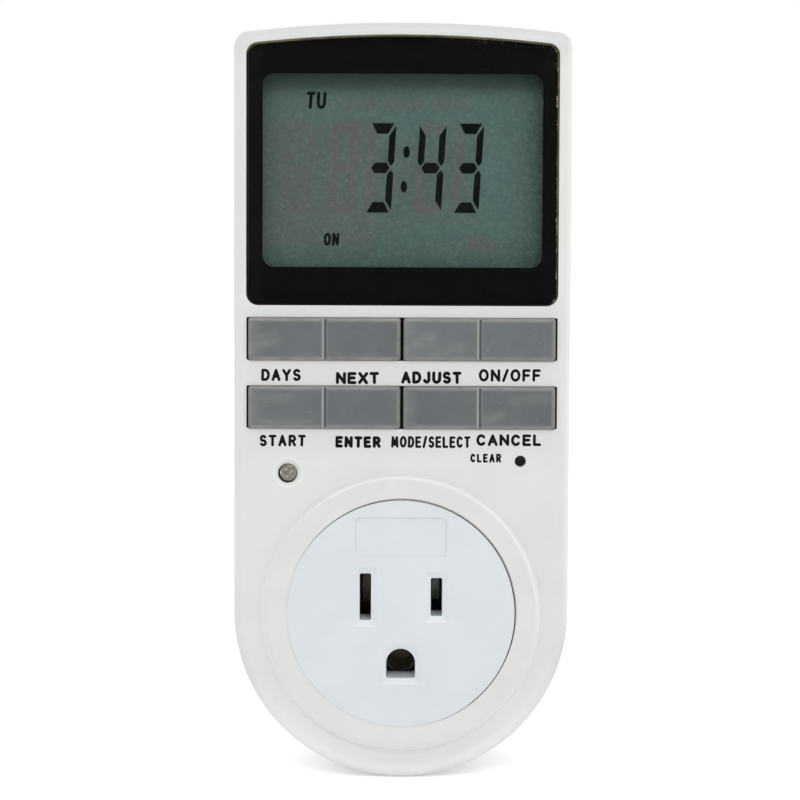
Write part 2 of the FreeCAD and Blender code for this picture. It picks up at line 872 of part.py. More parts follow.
def rocker_cap(x, z):
    x0, x1 = x - cap_width / 2, x + cap_width / 2
    z0, z1 = z - cap_height / 2, z + cap_height / 2
    cap = plate(x0, x1, z0, z1, row_corner_radius - cap_side_gap, y_cap_front, y_cap_back)
    cap = cap.makeFillet(min(cap_edge_radius, cap_thickness / 2), edges_at(cap, y_cap_front))
    groove = Part.Face(Part.makePolygon([
        Vector(x - groove_width / 2, y_cap_front - groove_lip, z0 + groove_stop),
        Vector(x + groove_width / 2, y_cap_front - groove_lip, z0 + groove_stop),
        Vector(x, y_cap_front + groove_depth, z0 + groove_stop),
        Vector(x - groove_width / 2, y_cap_front - groove_lip, z0 + groove_stop),
    ])).extrude(Vector(0, 0, cap_height - 2 * groove_stop))
    cap = cap.cut(groove)
    adds = [box(x - keel_width / 2, x + keel_width / 2, y_cap_back - weld, y_hinge, z0, z1)]
    adds.append(rod_z(x, y_hinge, z0 - pin_length, z1 + pin_length, pin_radius))
    for side in (-1, 1):
        adds.append(rod(x + side * pusher_offset, z, pusher_radius, y_cap_back - weld,
                        y_dome_top - dome_press_gap))
    return cap.fuse(adds).removeSplitter()


def key_places():
    return [
        (side * cap_x + key * pusher_offset, z)
        for z in rows.values() for side in (-1, 1) for key in (-1, 1)
    ]


def silicone_keypad():
    reach = cap_x + pusher_offset + dome_base_radius + pad_margin
    shapes = [plate(-reach, reach, pad_z0, pad_z1, pad_corner_radius, y_pad_front, y_control_front)]
    bores = []
    for x, z in key_places():
        shapes.append(Part.makeCone(dome_base_radius, dome_top_radius, dome_height, Vector(x, y_pad_front, z),
                                    Vector(0, -1, 0)))
        bores.append(rod(x, z, dome_bore_radius, y_control_front - pill_gap - pill_thickness,
                         y_control_front + past))
    return fuse_all(shapes).cut(bores)


def carbon_pills():
    y1 = y_control_front - pill_gap
    return Part.makeCompound([rod(x, z, pill_radius, y1 - pill_thickness, y1) for x, z in key_places()])


# Indicator and reset switch

def indicator_light():
    y_base = y_control_front - light_lift
    y_tip = y_face - light_proud
    y_round = y_tip + light_radius
    shapes = [rod(light_x, light_z, light_radius + light_flange_width, y_base - light_flange, y_base)]
    shapes.append(rod(light_x, light_z, light_radius, y_round, y_base))
    shapes.append(Part.makeSphere(light_radius, Vector(light_x, y_round, light_z)))
    return fuse_all(shapes)


def indicator_leads():
    return Part.makeCompound([
        rod(light_x + side * light_lead_pitch, light_z, light_lead_radius, y_control_front - light_lift,
            y_control_front)
        for side in (-1, 1)
    ])


def reset_switch():
    half = switch_size / 2
    body = plate(reset_x - half, reset_x + half, reset_z - half, reset_z + half, switch_corner_radius,
                 y_switch_top, y_control_front)
    bore = rod(reset_x, reset_z, plunger_radius + plunger_clearance, y_switch_top - past,
               y_switch_top + plunger_buried + plunger_travel + plunger_clearance)
    return body.cut(bore)


def reset_plunger():
    plunger = rod(reset_x, reset_z, plunger_radius, y_plunger_tip, y_switch_top + plunger_buried)
    return plunger.makeChamfer(plunger_chamfer, edges_at(plunger, y_plunger_tip))


# Control board

def holes(places, y0, y1):
    return [rod(x, z, small_screw_radius + screw_clearance, y0 - past, y1 + past) for x, z in places]


def control_board():
    board = plate(-board_half, board_half, control_z0, control_z1, board_corner_radius, y_control_front,
                  y_control_back)
    return board.cut(holes(control_post_places, y_control_front, y_control_back))


def control_chip():
    blob = rod(chip_x, chip_z, chip_radius, y_control_back, y_control_back + chip_height)
    return blob.makeFillet(chip_height * chip_edge_share, edges_at(blob, y_control_back + chip_height))


def clock_crystal():
    return axial_part(crystal_x, crystal_z, crystal_radius, crystal_length, y_control_back, 1)


def backup_battery():
    y0 = y_control_back + battery_tab_thickness
    cell = rod(battery_x, battery_z, battery_radius, y0, y0 + battery_height)
    return cell.makeFillet(battery_edge_radius, edges_at(cell, y0 + battery_height))


def battery_tabs():
    half = battery_tab_width / 2
    y0 = y_control_back
    thick = battery_tab_thickness
    y1 = y0 + thick + battery_height
    under = box(battery_x - half, battery_x + half, y0, y0 + thick,
                battery_z - battery_radius - battery_tab_reach, battery_z + battery_radius / 2)
    edge = battery_x - battery_radius - battery_tab_gap
    over = fuse_all([
        box(edge - thick, battery_x + half, y1, y1 + thick, battery_z - half, battery_z + half),
        box(edge - thick, edge, y0, y1 + thick, battery_z - half, battery_z + half),
        box(edge - battery_tab_foot, edge, y0, y0 + thick, battery_z - half, battery_z + half),
    ])
    return Part.makeCompound([under, over])


def ribbon_wires():
    x0 = -power_half + ribbon_inset
    z = power_z0 + ribbon_rise
    return Part.makeCompound([
        rod(x0 + i * ribbon_pitch, z, ribbon_wire_radius, y_control_back, y_power_front)
        for i in range(ribbon_count)
    ])


# Power board and its components

def power_board():
    board = plate(-power_half, power_half, power_z0, power_z1, board_corner_radius, y_power_front,
                  y_power_back)
    return board.cut(holes(power_post_places, y_power_front, y_power_back))


relay_height = board_gap - relay_headroom
relay_x = -power_half + relay_width / 2 + relay_side_inset
relay_z = power_z0 + relay_length / 2 + relay_rise
relay_inner_half = relay_length / 2 - relay_wall
yoke_arm_z = relay_inner_half - yoke_arm_end_gap - yoke_thickness / 2
contact_z0 = -relay_inner_half + contact_end_gap
contact_z1 = contact_z0 + 2 * contact_button_radius
bobbin_z0 = contact_z1 + contact_from_bobbin
bobbin_z1 = yoke_arm_z - yoke_thickness / 2 - bobbin_from_arm
bobbin_radius = (bobbin_z1 - bobbin_z0) / 2
core_z = (bobbin_z0 + bobbin_z1) / 2
bobbin_tube_radius = bobbin_radius - coil_step - winding_depth - coil_gap
bobbin_bore_radius = bobbin_tube_radius - bobbin_wall
core_radius = bobbin_bore_radius - relay_gap
yoke_top = relay_height - yoke_below_top
hinge_height = yoke_top + heel_radius + closed_gap
plate_bottom = hinge_height - armature_below_hinge
plate_top = plate_bottom + armature_thickness
relay_turn = math.radians(armature_angle)


def closed_height(reach, height):
    """Height at the limit of travel of a point on the armature, reach from its axis."""
    drop = (height - hinge_height) * math.cos(relay_turn) - reach * math.sin(relay_turn)
    return hinge_height + drop - closed_gap


def relay_box(x0, x1, z0, z1, h0, h1):
    """A box in the relay, with heights counted from the power board towards the user."""
    return box(relay_x + x0, relay_x + x1, y_power_front - h1, y_power_front - h0, relay_z + z0, relay_z + z1)


def relay_rod(z, radius, h0, h1):
    return rod(relay_x, relay_z + z, radius, y_power_front - h1, y_power_front - h0)


def relay_case():
    a, b = relay_width / 2, relay_length / 2
    outer = plate(relay_x - a, relay_x + a, relay_z - b, relay_z + b, relay_corner_radius,
                  y_power_front - relay_height, y_power_front - relay_gap)
    w = relay_wall
    return outer.cut(relay_box(-a + w, a - w, -b + w, b - w, -past, relay_height - w))


def relay_base():
    a = relay_width / 2 - relay_wall - relay_gap
    b = relay_length / 2 - relay_wall - relay_gap
    return relay_box(-a, a, -b, b, 0, relay_base_thickness)


core_top = closed_height(yoke_arm_z - core_z + pole_radius, plate_bottom)


def relay_yoke():
    a = yoke_width / 2
    t = yoke_thickness
    h0 = relay_base_thickness
    shapes = [relay_box(-a, a, core_z - pole_radius - yoke_foot_past_pole, yoke_arm_z + t / 2, h0, h0 + t)]
    shapes.append(relay_box(-a, a, yoke_arm_z - t / 2, yoke_arm_z + t / 2, h0, yoke_top))
    shapes.append(relay_rod(core_z, core_radius, h0, core_top))
    shapes.append(relay_rod(core_z, pole_radius, core_top - pole_thickness, core_top))
    return fuse_all(shapes)


bobbin_h0 = relay_base_thickness + yoke_thickness + relay_gap
bobbin_h1 = core_top - pole_thickness - relay_gap


def relay_bobbin():
    shapes = [relay_rod(core_z, bobbin_tube_radius, bobbin_h0, bobbin_h1)]
    shapes.append(relay_rod(core_z, bobbin_radius, bobbin_h0, bobbin_h0 + bobbin_flange))
    shapes.append(relay_rod(core_z, bobbin_radius, bobbin_h1 - bobbin_flange, bobbin_h1))
    return fuse_all(shapes).cut(relay_rod(core_z, bobbin_bore_radius, bobbin_h0 - past, bobbin_h1 + past))


def relay_coil():
    h0, h1 = bobbin_h0 + bobbin_flange, bobbin_h1 - bobbin_flange
    coil = relay_rod(core_z, bobbin_radius - coil_step, h0, h1)
    return coil.cut(relay_rod(core_z, bobbin_tube_radius + coil_gap, h0 - past, h1 + past))


def relay_armature():
    a = armature_width / 2
    heel = rod_x(relay_x - a, relay_x + a, y_power_front - hinge_height, relay_z + yoke_arm_z, heel_radius)
    arm_z0 = core_z - pole_radius - armature_past_pole
    arm = relay_box(-a, a, arm_z0, yoke_arm_z, plate_bottom, plate_top)
    return fuse_all([heel, arm])


def relay_leaf():
    a = leaf_width / 2
    leaf = relay_box(-a, a, contact_z0, yoke_arm_z - leaf_end_inset, plate_top, plate_top + leaf_thickness)
    button = relay_rod(contact_z1 - contact_button_radius, contact_button_radius,
                       plate_top - contact_button_height, plate_top + leaf_thickness / 2)
    return fuse_all([leaf, button])


def relay_fixed_contact():
    top = closed_height(yoke_arm_z - contact_z0, plate_top - contact_button_height)
    foot_z1 = contact_z0 + fixed_contact_thickness
    a = leaf_width / 2
    shapes = [relay_box(-a, a, contact_z0, foot_z1, relay_base_thickness, top)]
    shapes.append(relay_box(-a, a, contact_z0, contact_z1, top - fixed_pad_thickness, top))
    return fuse_all(shapes)


def film_capacitor():
    x0 = relay_x + relay_width / 2 + capacitor_from_relay
    z0 = relay_z + capacitor_above_relay
    body = plate(x0, x0 + capacitor_width, z0, z0 + capacitor_thickness, capacitor_corner_radius,
                 y_power_front - capacitor_height, y_power_front)
    return body.makeFillet(capacitor_edge_radius, edges_at(body, y_power_front - capacitor_height))


def smoothing_capacitor():
    x = relay_x - can_from_relay_x
    z = relay_z + relay_length / 2 + can_radius + can_above_relay
    can = rod(x, z, can_radius, y_power_front - can_height, y_power_front)
    return can.makeFillet(capacitor_edge_radius, edges_at(can, y_power_front - can_height))


def surge_varistor():
    x = relay_x + relay_width / 2 + varistor_from_relay
    z = relay_z - relay_length / 2 + varistor_above_relay_end
    y = y_power_front - varistor_radius - part_lift
    disc = rod_z(x, y, z, z + varistor_thickness, varistor_radius)
    disc = disc.makeFillet(varistor_edge_radius, disc.Edges)
    shapes = [disc]
    for side in (-1, 1):
        shapes.append(rod(x + side * varistor_lead_x, z + varistor_thickness / 2 + side * varistor_lead_z,
                          lead_radius, y, y_power_front))
    return fuse_all(shapes)


def rectifier_diodes():
    x0 = relay_x + diode_from_relay_x
    z0 = relay_z + relay_length / 2 + diode_above_relay
    pitch_x = diode_length + 2 * lead_reach + diode_end_gap
    pitch_z = 2 * diode_radius + diode_side_gap
    return Part.makeCompound([
        axial_part(x0 + column * pitch_x, z0 + line_of_two * pitch_z, diode_radius, diode_length,
                   y_power_front, -1)
        for line_of_two in (0, 1) for column in (0, 1)
    ])


def dropper_resistor():
    x = relay_x + resistor_from_relay_x
    z = relay_z + relay_length / 2 + resistor_above_relay
    return axial_part(x, z, resistor_radius, resistor_length, y_power_front, -1)


def input_fuse():
    x = relay_x + relay_width / 2 + fuse_from_relay
    z = relay_z - relay_length / 2 + fuse_above_relay_end
    return axial_part(x, z, fuse_radius, fuse_length, y_power_front, -1)


# Outlet face, contacts and carrier

def slot_cut(x, height):
    """A blade slot through the outlet face, with a sloped lead-in at its mouth."""
    a = slot_width / 2
    b = height / 2
    z0, z1 = blade_rise - b, blade_rise + b
    slot = plate(x - a, x + a, z0, z1, slot_corner_radius, y_outlet - past, y_guide_end + past)
    wide = rounded_wire(x - a - slot_bevel, x + a + slot_bevel, z0 - slot_bevel, z1 + slot_bevel,
                        slot_corner_radius, y_outlet)
    narrow = rounded_wire(x - a, x + a, z0, z1, slot_corner_radius, y_outlet + slot_bevel_depth)
    return slot.fuse(Part.makeLoft([wide, narrow], True, True))


def ground_wire(grow, y):
    """Outline of the ground hole: a round top and a flat bottom, larger all round by grow."""
    r = ground_hole_radius + grow
    middle = -ground_drop
    z0 = middle - (ground_hole_height - ground_hole_radius) - grow
    c = ground_corner_radius
    turn = c * (1 - math.sqrt(0.5))
    left = [Vector(-r, y, z0 + c), Vector(-r + turn, y, z0 + turn), Vector(-r + c, y, z0)]
    right = [Vector(r - c, y, z0), Vector(r - turn, y, z0 + turn), Vector(r, y, z0 + c)]
    return Part.Wire([
        arc(Vector(r, y, middle), Vector(0, y, middle + r), Vector(-r, y, middle)),
        line(Vector(-r, y, middle), left[0]), arc(*left), line(left[2], right[0]), arc(*right),
        line(right[2], Vector(r, y, middle)),
    ])


def ground_cut():
    hole = solid_between(ground_wire(0, y_outlet - past), y_guide_end + past)
    lead_in = Part.makeLoft([ground_wire(slot_bevel, y_outlet), ground_wire(0, y_outlet + slot_bevel_depth)],
                            True, True)
    return hole.fuse(lead_in)


def outlet_face():
    face = rod(0, 0, outlet_radius, y_outlet, y_flange_back)
    face = face.makeFillet(outlet_edge_radius, edges_at(face, y_outlet))
    flange = rod(0, 0, flange_radius, y_flange_front, y_flange_back)
    notch_radius = case_boss_radius + flange_notch_gap
    flange = flange.cut([rod(x, z, notch_radius, y_flange_front - past, y_flange_back + past)
                         for x, z in case_screw_places])
    guide = plate(-carrier_half_x, carrier_half_x, carrier_z0, carrier_z1, guide_corner_radius,
                  y_flange_back - weld, y_guide_end)
    adds = [flange, guide]
    adds += [rod(x, z, ear_radius, y_flange_back - weld, y_ear) for x, z in carrier_screw_places]
    face = face.fuse(adds)
    cuts = [slot_cut(neutral_x, neutral_slot_height), slot_cut(hot_x, hot_slot_height), ground_cut()]
    cuts.append(plate(-label_width / 2, label_width / 2, label_z - label_height / 2,
                      label_z + label_height / 2, label_corner_radius, y_outlet - past,
                      y_outlet + label_depth))
    cuts += holes(outlet_screw_places, y_flange_front, y_flange_back)
    cuts += [small_pilot(x, z, y_ear + ear_thickness, -1) for x, z in carrier_screw_places]
    return face.cut(cuts).removeSplitter()


def contact_carrier():
    block = plate(-carrier_half_x, carrier_half_x, carrier_z0, carrier_z1, guide_corner_radius,
                  y_carrier_front, y_carrier_back)
    ears = plate(-ear_x - ear_radius, ear_x + ear_radius, ear_z - ear_radius, ear_z + ear_radius,
                 ear_corner_radius, y_ear + face_contact_gap, y_ear + ear_thickness)
    block = block.fuse(ears)
    y_pocket = y_carrier_back - carrier_back_wall
    tail_z0 = blade_rise - tail_height / 2 - tail_clearance
    tail_z1 = blade_rise + tail_height / 2 + tail_clearance
    cuts = []
    for x, height in ((neutral_x, neutral_slot_height), (hot_x, hot_slot_height)):
        half_pocket = height / 2 + contact_clearance
        cuts.append(box(x - pocket_half_x, x + pocket_half_x, y_flange_back, y_pocket,
                        blade_rise - half_pocket, blade_rise + half_pocket))
        cuts.append(box(tail_x(x) - tail_clearance, tail_x(x) + tail_thickness + tail_clearance,
                        y_pocket - past, y_carrier_back + past, tail_z0, tail_z1))
    cuts.append(rod(0, -ground_drop, sleeve_outer + contact_clearance, y_flange_back, y_pocket))
    cuts.append(rod(0, -ground_drop, ground_stem_radius + tail_clearance, y_pocket - past,
                    y_carrier_back + past))
    cuts += holes(carrier_screw_places, y_ear, y_ear + ear_thickness)
    return block.cut(cuts).removeSplitter()


def tail_x(x):
    """Left side of a contact's tail, which lies flat against the plug blade's own tail."""
    return x + blade_thickness / 2


def blade_contact(x, height, y_tail_end):
    """A sprung contact: two leaves that grip the blade, their root and a tail to the back."""
    y_root = y_contact_seat - contact_thickness / 2
    y_mouth = y_carrier_front + contact_mouth_gap
    pinch = (blade_thickness - contact_pinch + contact_thickness) / 2
    mouth = contact_mouth / 2
    root = contact_root / 2
    points = [
        (x - mouth, y_mouth), (x - pinch, y_mouth + contact_pinch_depth), (x - root, y_root),
        (x + root, y_root), (x + pinch, y_mouth + contact_pinch_depth), (x + mouth, y_mouth),
    ]
    z0, z1 = blade_rise - height / 2, blade_rise + height / 2
    spring = strip(points, contact_thickness, z0, z1)
    tail = box(tail_x(x), tail_x(x) + tail_thickness, y_root, y_tail_end, blade_rise - tail_height / 2,
               blade_rise + tail_height / 2)
    return fuse_all([spring, tail])


def neutral_contact():
    return blade_contact(neutral_x, neutral_slot_height - neutral_contact_inset, y_clamp - neutral_tail_gap)


def line_contact():
    return blade_contact(hot_x, hot_slot_height - line_contact_inset, y_carrier_back + line_tail_length)


def ground_contact():
    y0 = y_contact_seat - ground_base_thickness
    half_slit = ground_slit_width / 2
    sleeve = rod(0, -ground_drop, sleeve_outer, y_carrier_front + contact_mouth_gap, y_contact_seat)
    sleeve = sleeve.cut(rod(0, -ground_drop, sleeve_inner, y_carrier_front - past, y0))
    slit = box(-half_slit, half_slit, y_carrier_front - past, y0 - ground_slit_end, -ground_drop,
               -ground_drop + sleeve_outer + past)
    stem = rod(0, -ground_drop, ground_stem_radius, y_contact_seat - weld, y_ground_tail)
    return fuse_all([sleeve.cut(slit), stem])


# Plug

def plug_blade(x, height):
    a = blade_thickness / 2
    z0, z1 = blade_rise - height / 2, blade_rise + height / 2
    body = box(x - a, x + a, y_shoulder, blade_length, z0, z1)
    body = body.makeChamfer(blade_tip_chamfer, edges_at(body, blade_length))
    hole = rod_x(x - a - past, x + a + past, blade_length - blade_hole_from_tip, blade_rise,
                 blade_hole_radius)
    body = body.cut(hole)
    s = shoulder_side
    shoulder = box(x - a - s, x + a + s, y_shoulder, y_boss_floor, z0 - s, z1 + s)
    tail = box(x - a, x + a, y_blade_tail, y_shoulder + weld, blade_rise - blade_tail_height / 2,
               blade_rise + blade_tail_height / 2)
    return fuse_all([body, shoulder, tail])


def ground_pin():
    r = ground_pin_radius
    pin = rod(0, -ground_drop, r, -weld, ground_pin_length - r)
    nose = Part.makeSphere(r, Vector(0, ground_pin_length - r, -ground_drop))
    seat = rod(0, -ground_drop, ground_pin_seat_radius, y_shoulder, 0)
    flange = rod(0, -ground_drop, ground_pin_flange_radius, y_shoulder, y_boss_floor)
    tail = rod(0, -ground_drop, ground_pin_tail_radius, y_ground_tail, y_shoulder + weld)
    return fuse_all([pin, nose, seat, flange, tail])


def blade_clamp():
    disc = rod(0, 0, boss_radius - boss_wall - clamp_gap, y_clamp, y_shoulder)
    half = blade_thickness / 2 + screw_clearance
    tall = blade_tail_height / 2 + screw_clearance
    cuts = holes(clamp_screw_places, y_clamp, y_shoulder)
    for x, extra in ((neutral_x, tail_thickness), (hot_x, 0)):
        cuts.append(box(x - half, x + half + extra, y_clamp - past, y_shoulder + past, blade_rise - tall,
                        blade_rise + tall))
    cuts.append(rod(0, -ground_drop, ground_pin_tail_radius + screw_clearance, y_clamp - past,
                    y_shoulder + past))
    return disc.cut(cuts)


# Insulated wires

def blade_wire(x, shift):
    """A wire from a plug blade's tail up to the power board, which it meets further over by shift."""
    y = y_blade_tail + wire_radius + wire_shoulder_gap
    z = blade_rise + blade_tail_height / 2
    return wire_solid([
        (x, y, z), (x, y, z + wire_rise), (x + shift, y_wire_run, power_z0 - wire_board_gap),
        (x + shift, y_wire_run, power_z0 + wire_pad_z), (x + shift, y_power_front, power_z0 + wire_pad_z),
    ], wire_radius, wire_bend)


def switched_wire():
    x = tail_x(hot_x) + tail_thickness
    y = y_carrier_back + wire_radius + wire_gap
    out = carrier_half_x + switched_wire_out
    pad_x = out - switched_wire_back
    return wire_solid([
        (x, y, blade_rise), (out, y, blade_rise), (out, y, blade_rise + switched_wire_rise),
        (pad_x, y_wire_run, power_z0 + wire_pad_z), (pad_x, y_power_front, power_z0 + wire_pad_z),
    ], wire_radius, wire_bend)


nodes = {
    "front_cover": front_cover,
    "rear_cover": rear_cover,
    "case_screws": case_screws,
    "display_window": display_window,
    "window_border": window_border,
    "display_front_glass": display_front_glass,
    "display_rear_glass": display_rear_glass,
    "display_reflector": display_reflector,
    "display_backing": display_backing,
    "display_frame": display_frame,
    "contact_strip": contact_strip,
    "silicone_keypad": silicone_keypad,
    "carbon_pills": carbon_pills,
    "indicator_light": indicator_light,
    "indicator_leads": indicator_leads,
    "reset_switch": reset_switch,
    "reset_plunger": reset_plunger,
    "control_board": control_board,
    "control_chip": control_chip,
    "clock_crystal": clock_crystal,
    "backup_battery": backup_battery,
    "battery_tabs": battery_tabs,
    "ribbon_wires": ribbon_wires,
    "board_screws": board_screws,
    "power_board": power_board,
    "relay_case": relay_case,
    "relay_base": relay_base,
    "relay_yoke": relay_yoke,
    "relay_bobbin": relay_bobbin,
    "relay_coil": relay_coil,
    "relay_armature": relay_armature,
    "relay_leaf": relay_leaf,
    "relay_fixed_contact": relay_fixed_contact,
    "film_capacitor": film_capacitor,
    "smoothing_capacitor": smoothing_capacitor,
    "surge_varistor": surge_varistor,
    "rectifier_diodes": rectifier_diodes,
    "dropper_resistor": dropper_resistor,
    "input_fuse": input_fuse,
    "outlet_face": outlet_face,
    "outlet_screws": outlet_screws,
    "contact_carrier": contact_carrier,
    "neutral_contact": neutral_contact,
    "line_contact": line_contact,
    "ground_contact": ground_contact,
    "neutral_blade": lambda: plug_blade(neutral_x, neutral_blade_height),
    "line_blade": lambda: plug_blade(hot_x, hot_blade_height),
    "ground_pin": ground_pin,
    "blade_clamp": blade_clamp,
    "line_wire": lambda: blade_wire(hot_x, line_wire_shift),
    "neutral_wire": lambda: blade_wire(neutral_x, neutral_wire_shift),
    "switched_wire": switched_wire,
}
for row, row_z in rows.items():
    for side, sign in sides.items():
        nodes[f"{row}_{side}_rocker"] = lambda x=sign * cap_x, z=row_z: rocker_cap(x, z)

os.makedirs("parts", exist_ok=True)
for name, make in nodes.items():
    shape = make()
    shape.exportStep(f"parts/{name}.step")
    print(name, len(shape.Solids), round(shape.Volume, 2), shape.isValid())
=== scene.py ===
import json
import math
import random
from functools import cached_property, reduce

import bpy
from mathutils import Matrix, Vector
from mathutils.geometry import delaunay_2d_cdt


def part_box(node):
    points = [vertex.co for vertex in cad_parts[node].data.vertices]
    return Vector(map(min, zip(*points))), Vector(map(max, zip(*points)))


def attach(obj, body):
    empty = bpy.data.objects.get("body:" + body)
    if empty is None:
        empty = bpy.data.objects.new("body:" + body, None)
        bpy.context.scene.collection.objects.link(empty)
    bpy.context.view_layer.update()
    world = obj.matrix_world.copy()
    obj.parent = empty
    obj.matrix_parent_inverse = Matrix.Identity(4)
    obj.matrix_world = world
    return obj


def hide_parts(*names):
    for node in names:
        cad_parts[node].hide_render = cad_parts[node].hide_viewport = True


# Plug-in timer: its finishes, display, key labels, indicator and studio.
# Lengths are in millimetres until a mesh is made, and MM turns them into metres.
MM = 0.001

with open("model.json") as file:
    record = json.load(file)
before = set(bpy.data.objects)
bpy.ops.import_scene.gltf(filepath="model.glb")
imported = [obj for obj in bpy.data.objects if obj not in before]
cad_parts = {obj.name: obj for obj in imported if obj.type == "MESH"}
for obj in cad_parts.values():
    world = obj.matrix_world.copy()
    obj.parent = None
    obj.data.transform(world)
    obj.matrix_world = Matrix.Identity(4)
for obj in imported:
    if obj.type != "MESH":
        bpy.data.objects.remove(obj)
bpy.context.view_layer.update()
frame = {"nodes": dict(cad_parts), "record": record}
nodes = frame["nodes"]


def box_mm(node):
    """A part's lowest and highest corners in millimetres."""
    low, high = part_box(node)
    return low / MM, high / MM


# Places read from the frame
cover_low = box_mm("front_cover")[0]
window_low, window_high = box_mm("display_window")
border_low = box_mm("window_border")[0]
reflector_low, reflector_high = box_mm("display_reflector")
light_low, light_high = box_mm("indicator_light")
light_centre = (light_low + light_high) / 2
light_radius = (light_high.x - light_low.x) / 2
RING_RISE = 1.5
face_y = cover_low.y + RING_RISE
SHEET_PROUD = 0.02
sheet_y = reflector_low.y - SHEET_PROUD


class Tree:
    """A node tree, with short calls to add nodes, link them and calculate."""

    def __init__(self, tree):
        self.tree = tree
        tree.nodes.clear()

    def add(self, kind, **settings):
        node = self.tree.nodes.new(kind)
        for key, value in settings.items():
            setattr(node, key, value)
        return node

    def feed(self, socket, value):
        """Links an output to a socket, or sets the socket's own value."""
        if isinstance(value, bpy.types.NodeSocket):
            self.tree.links.new(value, socket)
        else:
            socket.default_value = value

    def calc(self, operation, a, b=0.0, clamp=False):
        node = self.add("ShaderNodeMath", operation=operation, use_clamp=clamp)
        for socket, value in zip(node.inputs, (a, b)):
            self.feed(socket, value)
        return node.outputs[0]

    def times(self, *values):
        """The product of the values."""
        return reduce(lambda a, b: self.calc("MULTIPLY", a, b), values)

    def most(self, *values):
        """The largest of the values."""
        return reduce(lambda a, b: self.calc("MAXIMUM", a, b), values)


class Graph(Tree):
    """A material's nodes, with short calls for what the finishes share."""

    def __init__(self, name):
        self.material = bpy.data.materials.new(name)
        self.material.use_nodes = True
        super().__init__(self.material.node_tree)
        self.output = self.add("ShaderNodeOutputMaterial")
        self.shader = self.add("ShaderNodeBsdfPrincipled")
        self.feed(self.output.inputs["Surface"], self.shader.outputs["BSDF"])
        self.place = self.add("ShaderNodeTexCoord").outputs["Object"]

    def set(self, **values):
        """Sets sockets of the main shader. An underscore in a key stands for a space."""
        for key, value in values.items():
            self.feed(self.shader.inputs[key.replace("_", " ")], value)

    def noise(self, size, detail=3.0, roughness=0.5, stretch=(1, 1, 1)):
        """Noise with features of about size millimetres."""
        place = self.add("ShaderNodeMapping")
        self.feed(place.inputs["Vector"], self.place)
        self.feed(place.inputs["Scale"], [1 / s for s in stretch])
        node = self.add("ShaderNodeTexNoise")
        self.feed(node.inputs["Vector"], place.outputs["Vector"])
        self.feed(node.inputs["Scale"], 1 / (size * MM))
        self.feed(node.inputs["Detail"], detail)
        self.feed(node.inputs["Roughness"], roughness)
        return node.outputs["Fac"]

    def span(self, value, a, b, to=(0.0, 1.0)):
        """Maps a to b smoothly onto the two numbers in to."""
        node = self.add("ShaderNodeMapRange", interpolation_type="SMOOTHSTEP")
        for key, number in zip(("Value", "From Min", "From Max", "To Min", "To Max"), (value, a, b, *to)):
            self.feed(node.inputs[key], number)
        return node.outputs["Result"]

    def mix(self, share, a, b):
        node = self.add("ShaderNodeMix", data_type="RGBA")
        self.feed(node.inputs["Factor"], share)
        self.feed(node.inputs["A"], colour4(a))
        self.feed(node.inputs["B"], colour4(b))
        return node.outputs["Result"]

    def point(self, operation, a, b, output="Vector"):
        node = self.add("ShaderNodeVectorMath", operation=operation)
        self.feed(node.inputs[0], a)
        self.feed(node.inputs[1], b)
        return node.outputs[output]

    def length(self, vector):
        node = self.add("ShaderNodeVectorMath", operation="LENGTH")
        self.feed(node.inputs[0], vector)
        return node.outputs["Value"]

    @cached_property
    def flat(self):
        """The place on the face in millimetres, with no depth."""
        return self.point("MULTIPLY", self.place, (1 / MM, 0.0, 1 / MM))

    @cached_property
    def axes(self):
        """The place in millimetres: X to the right, Y back and Z up."""
        split = self.add("ShaderNodeSeparateXYZ")
        self.feed(split.inputs["Vector"], self.point("MULTIPLY", self.place, (1 / MM, 1 / MM, 1 / MM)))
        return split.outputs

    def away(self, x, z):
        """The way on the face from the point at x and z, in millimetres."""
        return self.point("SUBTRACT", self.flat, (x, 0.0, z))

    def toward(self, side, vector):
        """How far a vector reaches to one side, in millimetres. The side is right and up."""
        return self.point("DOT_PRODUCT", vector, (side[0], 0.0, side[1]), "Value")

    def between(self, value, low, high, soft):
        """1 where value lies between low and high, with soft edges."""
        rise = self.span(value, low - soft / 2, low + soft / 2)
        return self.times(rise, self.span(value, high - soft / 2, high + soft / 2, (1.0, 0.0)))

    def stroke(self, start, end, width, soft):
        """1 on a line on the face from start to end, with round soft edges, in millimetres."""
        run = Vector((end[0] - start[0], 0.0, end[1] - start[1]))
        away = self.away(*start)
        if run.length > 0:
            share = self.point("DOT_PRODUCT", away, tuple(run / run.length_squared), "Value")
            share = self.calc("ADD", share, 0.0, clamp=True)
            along = self.add("ShaderNodeCombineXYZ")
            for key, part in zip("XYZ", run):
                self.feed(along.inputs[key], self.times(share, part))
            away = self.point("SUBTRACT", away, along.outputs["Vector"])
        return self.span(self.length(away), (width - soft) / 2, (width + soft) / 2, (1.0, 0.0))

    def strokes(self, marks, soft):
        """1 on any of the marks. A mark is its start, end and width."""
        return self.most(*[self.stroke(*mark, soft) for mark in marks])

    def bump(self, height, depth):
        """Bump of depth millimetres from a height of 0 to 1."""
        node = self.add("ShaderNodeBump")
        self.feed(node.inputs["Strength"], 1.0)
        self.feed(node.inputs["Distance"], depth * MM)
        self.feed(node.inputs["Height"], height)
        self.feed(self.shader.inputs["Normal"], node.outputs["Normal"])


def colour4(value):
    if isinstance(value, bpy.types.NodeSocket):
        return value
    return (*value[:3], 1.0)


def shade(colour, factor):
    return tuple(min(1.0, c * factor) for c in colour)


def mottled(g, colour):
    """A colour with a faint mottle."""
    return g.mix(g.span(g.noise(9.0, 4.0), 0.3, 0.7), shade(colour, 0.98), shade(colour, 1.02))


